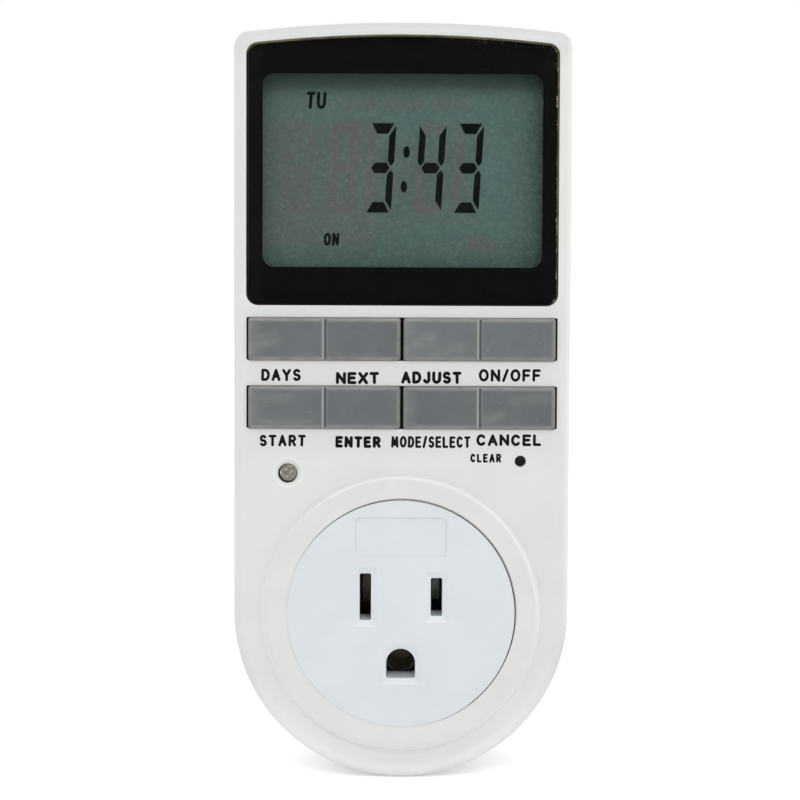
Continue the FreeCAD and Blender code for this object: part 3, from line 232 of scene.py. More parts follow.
def moulded(g, colour, rough, gloss, grain=0.22, depth=0.006):
    """Makes a graph injection moulded plastic of a colour, with a fine spark eroded grain."""
    g.set(Base_Color=colour, Specular_IOR_Level=gloss)
    g.set(Roughness=g.span(g.noise(1.5, 3.0), 0.25, 0.75, (rough - 0.05, rough + 0.05)))
    g.bump(g.noise(grain, 2.0, 0.6), depth)
    return g.material


def moulded_plastic(name, colour, rough, grain=0.22, depth=0.006, gloss=0.5):
    """Injection moulded plastic with a faint mottle."""
    g = Graph(name)
    return moulded(g, mottled(g, colour), rough, gloss, grain, depth)


def metal(name, colour, rough, stretch=(1, 6, 1)):
    """Rolled or plated metal with fine lines and a few dull spots."""
    g = Graph(name)
    lines = g.noise(0.12, 3.0, 0.6, stretch)
    spots = g.span(g.noise(1.4, 4.0), 0.45, 0.7)
    g.set(Metallic=1.0, Base_Color=g.mix(spots, colour, shade(colour, 0.90)))
    g.set(Roughness=g.span(lines, 0.2, 0.8, (rough - 0.07, rough + 0.09)))
    g.bump(lines, 0.004)
    return g.material


def socket_brass(name, colour, front):
    """Brass deep in the ground hole, painted dark as shade just behind its front edge, which is at front.
    """
    g = Graph(name)
    deep = g.span(g.axes["Y"], front + 0.1, front + 0.9)
    lines = g.noise(0.12, 3.0, 0.6, (1, 6, 1))
    # Painted shade just behind the front edge
    g.set(Metallic=1.0, Base_Color=g.mix(deep, shade(colour, 0.15), colour))
    g.set(Roughness=g.span(lines, 0.2, 0.8, (0.43, 0.59)))
    g.bump(lines, 0.004)
    return g.material


def rubber(name, colour, rough=0.55, sheen=0.1):
    g = Graph(name)
    dust = g.span(g.noise(0.5, 5.0, 0.7), 0.5, 0.75)
    g.set(Base_Color=g.mix(dust, colour, shade(colour, 1.25)), Roughness=rough, Sheen_Weight=sheen)
    g.bump(g.noise(0.3, 3.0), 0.01)
    return g.material


def laminate(name, colour):
    """Paper laminate with a faint woven mottle."""
    g = Graph(name)
    fibre = g.noise(0.35, 4.0, 0.6, (3, 1, 1))
    g.set(Base_Color=g.mix(g.span(fibre, 0.3, 0.7), shade(colour, 0.88), shade(colour, 1.1)))
    g.set(Roughness=g.span(fibre, 0.2, 0.8, (0.4, 0.6)))
    g.bump(fibre, 0.01)
    return g.material


def winding(name, colour):
    """Enamelled wire, wound in even turns across the depth."""
    g = Graph(name)
    wave = g.add("ShaderNodeTexWave", bands_direction="Y", wave_profile="SIN")
    g.feed(wave.inputs["Vector"], g.place)
    g.feed(wave.inputs["Scale"], 1 / (3.2 * MM))
    g.feed(wave.inputs["Distortion"], 0.3)
    turns = wave.outputs["Fac"]
    g.set(Base_Color=g.mix(turns, shade(colour, 0.5), colour), Metallic=0.6)
    g.set(Roughness=g.span(turns, 0.0, 1.0, (0.5, 0.3)))
    g.bump(turns, 0.05)
    return g.material


def clear(name, colour, rough, shadow_colour):
    """Clear acrylic or glass. The light of the lamps passes through it."""
    g = Graph(name)
    haze = g.noise(2.5, 5.0, 0.6)
    g.set(Base_Color=colour4(colour), Transmission_Weight=1.0, IOR=1.49)
    g.set(Roughness=g.span(haze, 0.45, 0.8, (rough, rough + 0.02)))
    passing = g.add("ShaderNodeBsdfTransparent")
    g.feed(passing.inputs["Color"], colour4(shadow_colour))
    choose = g.add("ShaderNodeMixShader")
    g.feed(choose.inputs["Fac"], g.add("ShaderNodeLightPath").outputs["Is Shadow Ray"])
    g.feed(choose.inputs[1], g.shader.outputs["BSDF"])
    g.feed(choose.inputs[2], passing.outputs["BSDF"])
    g.feed(g.output.inputs["Surface"], choose.outputs["Shader"])
    return g.material


# Colours, as linear red, green and blue
CASE_WHITE = (0.742, 0.758, 0.735)
OUTLET_WHITE = (0.722, 0.760, 0.785)
# Painted shade over the keys' field
KEY_FIELD_SHADE = (0.710, 0.733, 0.712)
# Painted highlight on the cover's edges and round the indicator
PAINTED_HIGHLIGHT = (0.93, 0.94, 0.92)
HALO_WARM = (0.70, 0.705, 0.63)
# Painted shade in the window's seat, olive and black; the black is also the painted shade beside the caps
SEAT_OLIVE = (0.30, 0.28, 0.11)
SHADE_BLACK = (0.010, 0.010, 0.008)
# Painted shade in the gap round the outlet face
SHADE_OLIVE = (0.36, 0.36, 0.30)
KEY_GREY = (0.135, 0.148, 0.154)
# Wear and painted highlight on the caps' edges
KEY_WEAR_AND_HIGHLIGHT = (0.300, 0.300, 0.285)
# Painted highlight on the groove's left flank
KEY_GROOVE_HIGHLIGHT = (0.44, 0.45, 0.445)
KEY_WARM = (0.185, 0.180, 0.170)
KEY_SHADE = (0.095, 0.108, 0.112)
BLACK_PRINT = (0.0045, 0.0045, 0.0048)
BORDER_BLACK = (0.0044, 0.0044, 0.0044)
BORDER_EDGE = (0.060, 0.062, 0.018)
BORDER_SCUFF = (0.52, 0.51, 0.38)
SPECK_GREY = (0.20, 0.20, 0.17)
DISPLAY_GREEN = (0.086, 0.157, 0.140)
DISPLAY_CLOUD = (0.111, 0.123, 0.110)
DISPLAY_DIM = (0.035, 0.073, 0.062)
# Painted shade along the display's top edge
DISPLAY_TOP_SHADE = (0.024, 0.045, 0.041)
DIGIT_BLACK = (0.0035, 0.0038, 0.0045)
IDLE_PINK = (0.143, 0.105, 0.107)
GLASS_TINT = (0.030, 0.035, 0.034)
GLASS_DUST = (0.42, 0.45, 0.42)
RESIN_GREY = (0.216, 0.204, 0.168)
# Painted shade at the edge of the indicator's dome
RESIN_EDGE_SHADE = (0.19, 0.18, 0.14)
# The indicator flange's painted shade and painted lit side
RESIN_SHADE = (0.34, 0.34, 0.20)
RESIN_LIT = (0.42, 0.42, 0.38)
GROUND_BRASS = (0.45, 0.44, 0.36)
# A lighter copy of the contacts' brass, painted lighter as painted light in the line contact's slot
LINE_BRASS_LIT = (0.72, 0.70, 0.61)

# Rocker caps: the groove between the two keys, the bands where the edges are lighter from wear and painted
# highlight, and each cap's tone
GROOVE_HALF = 0.36
GROOVE_STOP = 0.32
END_BAND = 3.2
SIDE_BAND = 1.0
CAP_RIM = 0.1
CAP_HALF = Vector((13.525, 0.0, 3.805))
SCRATCH_SOFT = 0.34
SMUDGE_SOFT = 2.2
KEY_TONES = {
    "upper_left_rocker": 0.96,
    "upper_right_rocker": 1.06,
    "lower_left_rocker": 0.99,
    "lower_right_rocker": 0.93,
}
# Scratches of the caps: the start, end and width of each
SCRATCHES = {
    "upper_left_rocker": [
        ((-26.4, 49.05), (-23.6, 49.25), 0.16), ((-25.3, 49.45), (-22.0, 49.6), 0.14),
        ((-25.9, 48.55), (-23.9, 48.62), 0.14), ((-25.6, 47.95), (-23.0, 48.1), 0.18),
        ((-26.1, 47.4), (-24.2, 47.3), 0.16), ((-24.4, 48.85), (-22.6, 49.0), 0.12),
        ((-19.6, 45.35), (-17.5, 46.1), 0.35), ((-6.9, 45.3), (-5.9, 45.8), 0.2),
    ],
    "upper_right_rocker": [
        ((6.58, 45.83), (10.12, 47.8), 0.16), ((8.9, 46.6), (10.7, 47.75), 0.13),
        ((14.91, 46.58), (16.49, 49.07), 0.14), ((22.52, 49.09), (23.93, 49.99), 0.13),
        ((2.13, 48.12), (4.26, 49.19), 0.2), ((3.9, 47.9), (5.1, 48.5), 0.14),
        ((24.48, 48.39), (24.5, 48.36), 0.3),
    ],
    "lower_left_rocker": [
        ((-16.5, 35.8), (-16.0, 36.0), 0.22), ((-24.6, 36.9), (-23.2, 37.2), 0.16),
        ((-7.4, 38.2), (-6.3, 38.4), 0.14),
    ],
    "lower_right_rocker": [
        ((15.2, 34.4), (15.95, 35.05), 0.16), ((24.0, 34.65), (24.25, 34.8), 0.26),
        ((17.1, 37.6), (18.0, 37.9), 0.13),
    ],
}
# Pale rubbed patches of the caps, written the same way
SMUDGES = {
    "upper_left_rocker": [((-25.8, 48.5), (-23.0, 48.6), 2.4), ((-18.0, 45.6), (-4.0, 45.4), 1.2)],
    "upper_right_rocker": [((2.4, 48.2), (5.2, 48.9), 2.0), ((5.5, 45.5), (10.5, 47.6), 1.4)],
    "lower_left_rocker": [((-26.0, 34.2), (-16.5, 34.0), 1.2), ((-24.5, 38.5), (-20.0, 38.6), 1.4)],
    "lower_right_rocker": [((14.5, 34.2), (17.5, 35.4), 1.6), ((20.0, 38.4), (25.5, 38.5), 1.2)],
}


def key_grey(name, low, high, tone, scratches, smudges):
    """A rocker cap: grey plastic, lighter at its edges from wear and painted highlight, with a painted
    highlight and painted shade on the flanks of its groove, and scratches.
    """
    g = Graph(name)
    middle = (low + high) / 2
    half = CAP_HALF
    u = g.calc("SUBTRACT", g.axes["X"], middle.x)
    v = g.calc("SUBTRACT", g.axes["Z"], middle.z)
    aside, height = g.calc("ABSOLUTE", u), g.calc("ABSOLUTE", v)
    # Edge bands: wear, with painted highlight on the bevels
    wide = g.span(u, -half.x + 0.4, -half.x + END_BAND, (0.32, 0.0))
    left = g.calc("ADD", wide, g.span(u, -half.x + CAP_RIM, -half.x + SIDE_BAND, (0.35, 0.0)))
    right = g.span(u, half.x - SIDE_BAND, half.x - CAP_RIM, (0.0, 0.75))
    top = g.span(v, half.z - SIDE_BAND, half.z - 0.25)
    foot = g.span(v, -half.z + CAP_RIM, -half.z + SIDE_BAND, (1.0, 0.0))
    uneven = g.span(g.noise(1.6, 4.0, 0.6, (2.5, 1, 1)), 0.25, 0.7, (0.45, 1.0))
    edge = g.times(g.most(left, right, top, foot), uneven)
    beside = g.span(aside, GROOVE_HALF, GROOVE_HALF + 0.45, (0.35, 0.0))
    rubbed = g.times(g.span(g.noise(0.45, 4.0, 0.65), 0.60, 0.72), 0.45,
                     g.span(height, half.z - 1.6, half.z - 0.2))
    marks = g.times(g.strokes(scratches, SCRATCH_SOFT), 0.28)
    smudge = g.times(g.strokes(smudges, SMUDGE_SOFT), 0.34,
                     g.span(g.noise(0.9, 4.0, 0.6, (3, 1, 1)), 0.3, 0.65, (0.4, 1.0)))
    wear_and_highlight = g.most(edge, beside, rubbed, marks, smudge)
    within = g.span(height, half.z - GROOVE_STOP, half.z - GROOVE_STOP + 0.15, (1.0, 0.0))
    # Painted highlight on the groove's left flank and painted shade on its right flank
    lit = g.times(g.between(u, -GROOVE_HALF + 0.02, -0.06, 0.10), within)
    dark = g.times(g.between(u, 0.04, GROOVE_HALF + 0.02, 0.12), within)
    patch = g.span(g.noise(4.5, 4.0, 0.6), 0.3, 0.7)
    warm = g.span(g.noise(2.2, 5.0, 0.7), 0.52, 0.75, (0.0, 0.25))
    colour = g.mix(patch, shade(KEY_GREY, 0.94 * tone), shade(KEY_GREY, 1.05 * tone))
    colour = g.mix(warm, colour, shade(KEY_WARM, tone))
    colour = g.mix(wear_and_highlight, colour, KEY_WEAR_AND_HIGHLIGHT)
    colour = g.mix(dark, colour, KEY_SHADE)
    colour = g.mix(lit, colour, KEY_GROOVE_HIGHLIGHT)
    g.set(Base_Color=colour, Specular_IOR_Level=0.35)
    g.set(Roughness=g.span(patch, 0.0, 1.0, (0.46, 0.56)))
    g.bump(g.calc("SUBTRACT", g.noise(0.15, 2.0, 0.6), marks), 0.006)
    return g.material


# Display: seven bar digits that lean a little. Across from the middle of a digit, up from its foot
LEAN = 0.0625
DIGIT_FOOT = 71.49
DIGIT_HEIGHT = 15.95
DIGIT_HALF = 2.39
MIDDLE = DIGIT_HEIGHT / 2
POST = 1.17
BAR = 1.89
TIP = 0.45
CORNER = 0.15
# Segments that are off and show a little, and one digit that hardly shows
IDLE = [("abcdefg", -11.22), ("ef", -4.494), ("ade", 4.473), ("ef", 11.20)]
FAINT = [("abcdefg", -19.0)]
# The other weekdays, which hardly show
GHOST_WORDS = [((u - 0.8, 90.9), (u + 0.8, 90.9), 2.6) for u in (-10.0, -6.0, -1.2, 2.5, 7.0, 11.0)]
# A pink bruise low on the right, and the heights between which the top edge's shade fades in
BRUISE = ((12.8, 66.4), (15.4, 65.9), 2.4)
TOP_SHADE = (91.2, 94.9)
IDLE_SOFT = 1.3
# Where the display is cloudy and where it is pale, each across the face and up it, and where it is dim:
# darker towards the bottom, and painted shadow towards the right edge
CLOUD = ((-27.0, -4.5), (65.5, 87.0))
PALE = ((-6.0, 13.0), (71.0, 84.0))
DIM_LOW = (60.0, 73.0)
SHADOW_RIGHT = (15.0, 27.0)
SHADOW_EDGE = (21.0, 25.5)
# Hairlines on the front glass, and the film on both glasses
HAIRLINES = [((19.7, 89.9), (19.5, 88.0), 0.12), ((-21.0, 66.4), (-19.2, 65.8), 0.08),
             ((8.4, 66.1), (9.9, 66.7), 0.08)]
GLASS_ALPHA = 0.01
GLASS_ROUGH = 0.35


def idle_marks(places):
    """The middle line and width of each segment of the digits in places."""
    side, foot, head = DIGIT_HALF - POST / 2, BAR / 2, DIGIT_HEIGHT - BAR / 2
    gap = BAR * 0.55
    lines = {
        "a": ((-1.0, head), (1.0, head), BAR),
        "b": ((side, MIDDLE + gap), (side, head - 0.4), POST),
        "c": ((side, foot + 0.4), (side, MIDDLE - gap), POST),
        "d": ((-1.0, foot), (1.0, foot), BAR),
        "e": ((-side, foot + 0.4), (-side, MIDDLE - gap), POST),
        "f": ((-side, MIDDLE + gap), (-side, head - 0.4), POST),
        "g": ((-0.8, MIDDLE), (0.8, MIDDLE), BAR),
    }
    marks = []
    for keys, centre in places:
        for key in keys:
            start, end, width = lines[key]
            ends = [(centre + u + LEAN * v, DIGIT_FOOT + v) for u, v in (start, end)]
            marks.append((*ends, width * 1.2))
    return marks


def display_sheet(name):
    """The sheet behind the liquid crystal: grey green, cloudy where the pressure is uneven.

    Segments that are off show on it as a soft pink tint. It is darker towards the bottom, with painted
    shadow towards the right edge and painted shade along the top.
    """
    g = Graph(name)
    x, z = g.axes["X"], g.axes["Z"]
    warp = g.times(g.calc("SUBTRACT", g.noise(5.0, 4.0, 0.6), 0.5), 7.0)
    bent_x, bent_z = g.calc("ADD", x, warp), g.calc("ADD", z, warp)
    cloud = g.times(g.between(bent_x, *CLOUD[0], 4.0), g.between(bent_z, *CLOUD[1], 4.0),
                    g.span(g.noise(1.6, 4.0, 0.6), 0.3, 0.7, (0.6, 1.0)))
    pale = g.times(g.between(bent_x, *PALE[0], 6.0), g.between(bent_z, *PALE[1], 5.0))
    low = g.span(z, *DIM_LOW, (1.0, 0.0))
    right = g.span(x, *SHADOW_RIGHT)
    # Darker towards the bottom, and painted shadow towards the right edge
    dim_and_shadow = g.most(g.times(low, 0.42), g.times(right, 0.25))
    dim_and_shadow = g.calc("ADD", dim_and_shadow, g.span(x, *SHADOW_EDGE, (0.0, 0.45)))
    dim_and_shadow = g.calc("MAXIMUM", dim_and_shadow, g.times(low, right, 1.2), clamp=True)
    weave = g.noise(0.12, 2.0, 0.7)
    grain = g.span(g.noise(0.5, 3.0, 0.65), 0.3, 0.7)
    patch = g.span(g.noise(7.0, 3.0), 0.3, 0.7)
    colour = g.mix(patch, shade(DISPLAY_GREEN, 0.97), shade(DISPLAY_GREEN, 1.03))
    colour = g.mix(g.times(pale, 0.5), colour, shade(DISPLAY_CLOUD, 0.77))
    colour = g.mix(dim_and_shadow, colour, DISPLAY_DIM)
    colour = g.mix(g.times(cloud, 0.8), colour, DISPLAY_CLOUD)
    blotch = g.span(g.noise(1.5, 4.0, 0.6), 0.3, 0.7, (0.5, 1.0))
    for marks, strength in ((idle_marks(IDLE), 0.80), (idle_marks(FAINT), 0.40)):
        colour = g.mix(g.times(g.strokes(marks, IDLE_SOFT), strength, blotch), colour, IDLE_PINK)
    colour = g.mix(g.times(g.stroke(*BRUISE, 1.6), blotch, 0.6), colour, IDLE_PINK)
    hue = g.span(g.noise(1.0, 4.0, 0.65), 0.35, 0.7, (0.0, 0.26))
    colour = g.mix(g.times(hue, g.span(x, -26.0, 6.0, (1.0, 0.35))), colour, IDLE_PINK)
    colour = g.mix(g.times(g.strokes(GHOST_WORDS, IDLE_SOFT), 0.30), colour, IDLE_PINK)
    colour = g.mix(g.span(grain, 0.0, 0.5, (0.20, 0.0)), colour, shade(DISPLAY_GREEN, 0.5))
    colour = g.mix(g.span(grain, 0.5, 1.0, (0.0, 0.45)), colour, shade(DISPLAY_GREEN, 1.45))
    colour = g.mix(g.span(weave, 0.3, 0.7, (0.0, 0.05)), colour, shade(DISPLAY_GREEN, 1.6))
    # Painted shade along the top edge
    colour = g.mix(g.span(z, *TOP_SHADE, (0.0, 0.60)), colour, DISPLAY_TOP_SHADE)
    g.set(Base_Color=colour, Roughness=0.6)
    g.bump(weave, 0.004)
    return g.material


def film(name):
    """Glass with its polarising film, seen straight through."""
    g = Graph(name)
    haze = g.noise(1.0, 4.0, 0.6)
    g.set(Base_Color=colour4(GLASS_TINT), Alpha=GLASS_ALPHA)
    g.set(Roughness=g.span(haze, 0.3, 0.7, (GLASS_ROUGH - 0.05, GLASS_ROUGH + 0.05)))
    return g.material


def dusty_film(name):
    """The front glass: the same film with a few specks of dust and hairlines."""
    g = Graph(name)
    specks = g.span(g.noise(0.28, 2.0, 0.5), 0.735, 0.765)
    dust = g.most(g.times(specks, 0.30), g.times(g.strokes(HAIRLINES, 0.08), 0.16))
    g.set(Base_Color=g.mix(g.span(dust, 0.0, 0.05), GLASS_TINT, GLASS_DUST))
    g.set(Alpha=g.most(dust, GLASS_ALPHA), Roughness=GLASS_ROUGH)
    return g.material


def ink(name, colour, rough):
    g = Graph(name)
    wear = g.span(g.noise(0.25, 4.0, 0.7), 0.55, 0.8)
    g.set(Base_Color=g.mix(g.times(wear, 0.2), colour, shade(colour, 2.5)))
    g.set(Roughness=rough, Specular_IOR_Level=0.1)
    g.bump(g.noise(0.1, 2.0), 0.003)
    return g.material


# The window's outline: straight sides, a wide arc at the top, and round corners
WINDOW_TOP_RADIUS = 233.6
WINDOW_CORNER = 2.0
# Its print: the thin rim, the scuff at the right, the specks at the top and where the display ends
RIM_GAP = 0.16
RIM_LINE = 0.14
SCUFF_REACH = 0.42
SPECK_HEIGHTS = (93.0, 97.5)
BESIDE_DISPLAY = 24.6


def window_depth(g):
    """Millimetres inside the window's outline, on the face."""
    across = g.calc("SUBTRACT", window_high.x, g.calc("ABSOLUTE", g.axes["X"]))
    from_centre = g.length(g.away(0.0, window_high.z - WINDOW_TOP_RADIUS))
    below_top = g.calc("SUBTRACT", WINDOW_TOP_RADIUS, from_centre)
    upright = g.calc("MINIMUM", below_top, g.calc("SUBTRACT", g.axes["Z"], window_low.z))
    u = g.calc("SUBTRACT", WINDOW_CORNER, across)
    v = g.calc("SUBTRACT", WINDOW_CORNER, upright)
    squares = [g.calc("POWER", g.most(side, 0.0), 2.0) for side in (u, v)]
    corner = g.calc("SQRT", g.calc("ADD", *squares))
    outside = g.calc("ADD", corner, g.calc("MINIMUM", g.most(u, v), 0.0))
    return g.calc("SUBTRACT", WINDOW_CORNER, outside)


def border_print(name):
    """Black print behind the window, thin and olive along its rim and scuffed at the right."""
    g = Graph(name)
    x, z = g.axes["X"], g.axes["Z"]
    depth = window_depth(g)
    rim = g.times(g.span(depth, RIM_GAP + RIM_LINE * 0.2, RIM_GAP + RIM_LINE * 1.2, (1.0, 0.0)),
                  g.span(z, window_low.z + 2.0, window_low.z + 6.0))
    ragged = g.span(g.noise(0.55, 5.0, 0.7, (1, 1, 2.0)), 0.52, 0.70, (0.0, SCUFF_REACH))
    scuff = g.times(g.span(g.calc("SUBTRACT", ragged, g.calc("SUBTRACT", depth, RIM_GAP)), 0.0, 0.06),
                    g.span(x, window_high.x - 1.5, window_high.x - 1.0),
                    g.span(z, window_high.z - 5.0, window_high.z - 3.5, (1.0, 0.35)))
    wear = g.span(g.noise(0.6, 4.0, 0.7), 0.50, 0.8, (0.0, 0.5))
    beside = g.times(g.span(g.calc("ABSOLUTE", x), BESIDE_DISPLAY, BESIDE_DISPLAY + 1.0, (0.0, 0.5)),
                     g.span(x, -1.0, 1.0, (1.9, 1.0)))
    specks = g.times(g.span(g.noise(0.32, 2.0), 0.62, 0.68), g.span(z, *SPECK_HEIGHTS),
                     g.span(depth, 0.3, 1.3, (1.0, 0.1)), g.span(x, 2.0, 14.0, (0.0, 0.6)))
    colour = g.mix(g.most(wear, beside), BORDER_BLACK, shade(BORDER_BLACK, 1.8))
    colour = g.mix(specks, colour, SPECK_GREY)
    colour = g.mix(g.times(rim, 0.8), colour, BORDER_EDGE)
    colour = g.mix(scuff, colour, BORDER_SCUFF)
    g.set(Base_Color=colour, Roughness=0.6, Specular_IOR_Level=0.03)
    return g.material


# Front cover: the ring round the outlet, with painted highlights on its edge, and the hole in it, with
# painted shade in the gap at its upper right. A side is a way on the face: right, then up
RING_EDGE = (24.45, 24.95)
RING_LIT = (24.12, 24.60)
RING_LIT_SIDE = (0.45, 0.89)
RING_UNDER = (23.95, 25.3)
HOLE_RADIUS = 20.48
HOLE_SHADE = 0.24
HOLE_SHADE_SIDE = (0.64, 0.77)
# The painted highlights on the rim at the foot and on the sides, the painted shade at the top, how deep
# they reach, and the finish
FOOT_RIM = (26.5, 30.0)
SIDE_RIM = (28.8, 29.8)
TOP_DARK = (96.5, 101.0)
RIM_DEPTH = (2.0, 4.5)
COVER_ROUGH = 0.40
COVER_GLOSS = 0.3
# The halo round the indicator: a warm tint and a ring of painted highlight, as distances from the
# indicator's middle
HALO_FADE = (1.8, 2.5)
HALO_RING = (2.25, 2.75)
# The keys' field, with painted shade that makes it greyer, and the width of the painted shade in the gap
# beside the caps
KEY_FIELD = (28.5, 55.5)
KEY_FIELD_HALF = 27.5
KEY_GAP_SHADE = 0.34


def cover_white(name):
    """The face's shell: white plastic, with painted shade in its gaps and seat and painted highlights on
    its edges, where the photograph has them.
    """
    g = Graph(name)
    x, z = g.axes["X"], g.axes["Z"]
    depth = g.calc("SUBTRACT", g.axes["Y"], face_y)
    near_face = g.span(depth, *RIM_DEPTH, (1.0, 0.0))
    colour = mottled(g, CASE_WHITE)
    radius = g.length(g.flat)
    # Painted highlights on the ring's edge, at the foot's rim and at the sides
    crest = g.calc("DIVIDE", g.toward(RING_LIT_SIDE, g.flat), HOLE_RADIUS)
    ring = g.times(g.between(radius, *RING_EDGE, 0.3), g.span(z, -24.0, 20.0, (1.0, 0.35)))
    lit = g.times(g.between(radius, *RING_LIT, 0.4), g.span(crest, 0.0, 0.8, (0.0, 0.55)))
    under = g.times(g.between(radius, *RING_UNDER, 0.7), g.span(z, -20.0, -6.0, (0.5, 0.0)))
    foot = g.times(g.span(radius, *FOOT_RIM, (0.12, 0.9)), g.span(z, -26.0, -6.0, (1.0, 0.0)))
    sides = g.times(g.span(g.calc("ABSOLUTE", x), *SIDE_RIM), g.span(x, -1.0, 1.0, (0.35, 0.7)),
                    g.span(z, -8.0, 4.0))
    highlight = g.times(g.most(ring, lit, under, foot, sides), near_face)
    # Painted shade at the top
    shaded = g.times(g.span(z, *TOP_DARK, (0.0, 0.8)), near_face)
    colour = g.mix(shaded, colour, shade(CASE_WHITE, 0.93))
    colour = g.mix(highlight, colour, PAINTED_HIGHLIGHT)
    # Painted shade over the keys' field, round the caps
    keys = g.times(g.between(z, *KEY_FIELD, 3.0), g.between(x, -KEY_FIELD_HALF, KEY_FIELD_HALF, 5.0))
    colour = g.mix(keys, colour, KEY_FIELD_SHADE)
    # Painted shade in the gaps beside the caps' outer ends
    for cap in SCRATCHES:
        low, high = box_mm(cap)
        middle = (low + high) / 2
        side = math.copysign(1, middle.x)
        end = middle.x + side * CAP_HALF.x
        across = sorted((end - side * 0.1, end + side * KEY_GAP_SHADE))
        gap = g.times(g.between(x, *across, 0.10),
                      g.between(z, middle.z - CAP_HALF.z + 0.1, middle.z + CAP_HALF.z + 0.02, 0.2))
        colour = g.mix(gap, colour, SHADE_BLACK)
    # Painted shade in the gap round the hole, at its upper right
    way = g.calc("DIVIDE", g.toward(HOLE_SHADE_SIDE, g.flat), HOLE_RADIUS)
    shade_reach = g.times(g.span(way, 0.1, 0.9), HOLE_SHADE)
    past_hole = g.calc("SUBTRACT", radius, HOLE_RADIUS)
    hole_shade = g.span(past_hole, g.calc("SUBTRACT", shade_reach, 0.06), shade_reach, (1.0, 0.0))
    colour = g.mix(g.times(hole_shade, g.span(way, 0.05, 0.3)), colour, SHADE_OLIVE)
    # Painted shade in the seat under the window's rim: black, and olive at the right and the top
    seat_shade = g.times(g.span(window_depth(g), -0.35, -0.25), g.span(depth, 0.15, 0.45))
    olive = g.times(g.most(g.span(x, window_high.x - 1.5, window_high.x - 0.5),
                           g.span(z, window_high.z - 3.5, window_high.z - 2.0)),
                    g.span(g.noise(2.5, 3.0), 0.3, 0.6, (0.45, 1.0)), g.span(z, 64.0, 69.0, (0.4, 1.0)))
    colour = g.mix(seat_shade, colour, g.mix(olive, SHADE_BLACK, SEAT_OLIVE))
    halo = g.length(g.away(light_centre.x, light_centre.z))
    # A warm tint round the indicator, and a ring of painted highlight round that
    colour = g.mix(g.span(halo, *HALO_FADE, (0.6, 0.0)), colour, HALO_WARM)
    colour = g.mix(g.times(g.between(halo, *HALO_RING, 0.4), 0.3), colour, PAINTED_HIGHLIGHT)
    return moulded(g, colour, COVER_ROUGH, COVER_GLOSS)


# The indicator's flange, past its dome, and the side on which the flange is painted lit, with painted
# shade on the other side
LIGHT_FLANGE = 0.4
FLANGE_SIDE = (0.75, 0.66)
# What shows in its resin, with painted highlights and a painted reflection, from its centre: start, end
# and width of each mark, and its colour
RESIN_MARKS_AND_HIGHLIGHTS = [
    (((0.17, -0.33), (1.01, 0.02), 0.30), (0.205, 0.170, 0.180)),
    (((0.10, -0.24), (0.20, -0.80), 0.20), (0.225, 0.190, 0.195)),
    (((-0.70, 0.49), (-0.55, 0.05), 0.25), (0.235, 0.205, 0.195)),
    (((-0.70, 0.05), (-0.23, -0.35), 0.32), (0.120, 0.095, 0.098)),
    # A painted highlight
    (((0.32, 0.05), (0.76, 0.31), 0.22), (0.41, 0.39, 0.33)),
    # A painted reflection
    (((-1.40, 0.10), (-1.38, -0.15), 0.28), (0.70, 0.60, 0.50)),
    # Painted highlights
    (((-0.34, 0.65), (-0.32, 0.65), 0.26), (0.78, 0.78, 0.70)),
    (((-0.33, -0.69), (-0.31, -0.69), 0.24), (0.66, 0.63, 0.50)),
]


def resin(name):
    """The cloudy resin of the indicator, with the ends of its leads and chip inside, painted highlights, a
    painted reflection, and painted shade at the dome's edge and on one side of its flange.
    """
    g = Graph(name)
    dome = light_radius - LIGHT_FLANGE
    cloud = g.span(g.noise(0.5, 3.0), 0.35, 0.65)
    colour = g.mix(cloud, shade(RESIN_GREY, 0.92), shade(RESIN_GREY, 1.08))
    away = g.away(light_centre.x, light_centre.z)
    distance = g.length(away)
    # Painted shade at the dome's edge, and the flange painted lit on one side and shaded on the other
    colour = g.mix(g.span(distance, dome - 0.35, dome), colour, RESIN_EDGE_SHADE)
    flange = g.mix(g.span(g.toward(FLANGE_SIDE, away), -0.4, 0.5), RESIN_SHADE, RESIN_LIT)
    colour = g.mix(g.span(distance, dome - 0.01, dome + 0.01), colour, flange)
    for (start, end, width), tint in RESIN_MARKS_AND_HIGHLIGHTS:
        ends = [(p[0] + light_centre.x, p[1] + light_centre.z) for p in (start, end)]
        colour = g.mix(g.stroke(*ends, width, 0.2), colour, tint)
    g.set(Base_Color=colour, Transmission_Weight=0.08, IOR=1.5, Coat_Weight=0.3, Coat_Roughness=0.15)
    g.set(Roughness=g.span(cloud, 0.0, 1.0, (0.2, 0.3)))
    g.bump(g.noise(0.5, 2.0), 0.004)
    return g.material


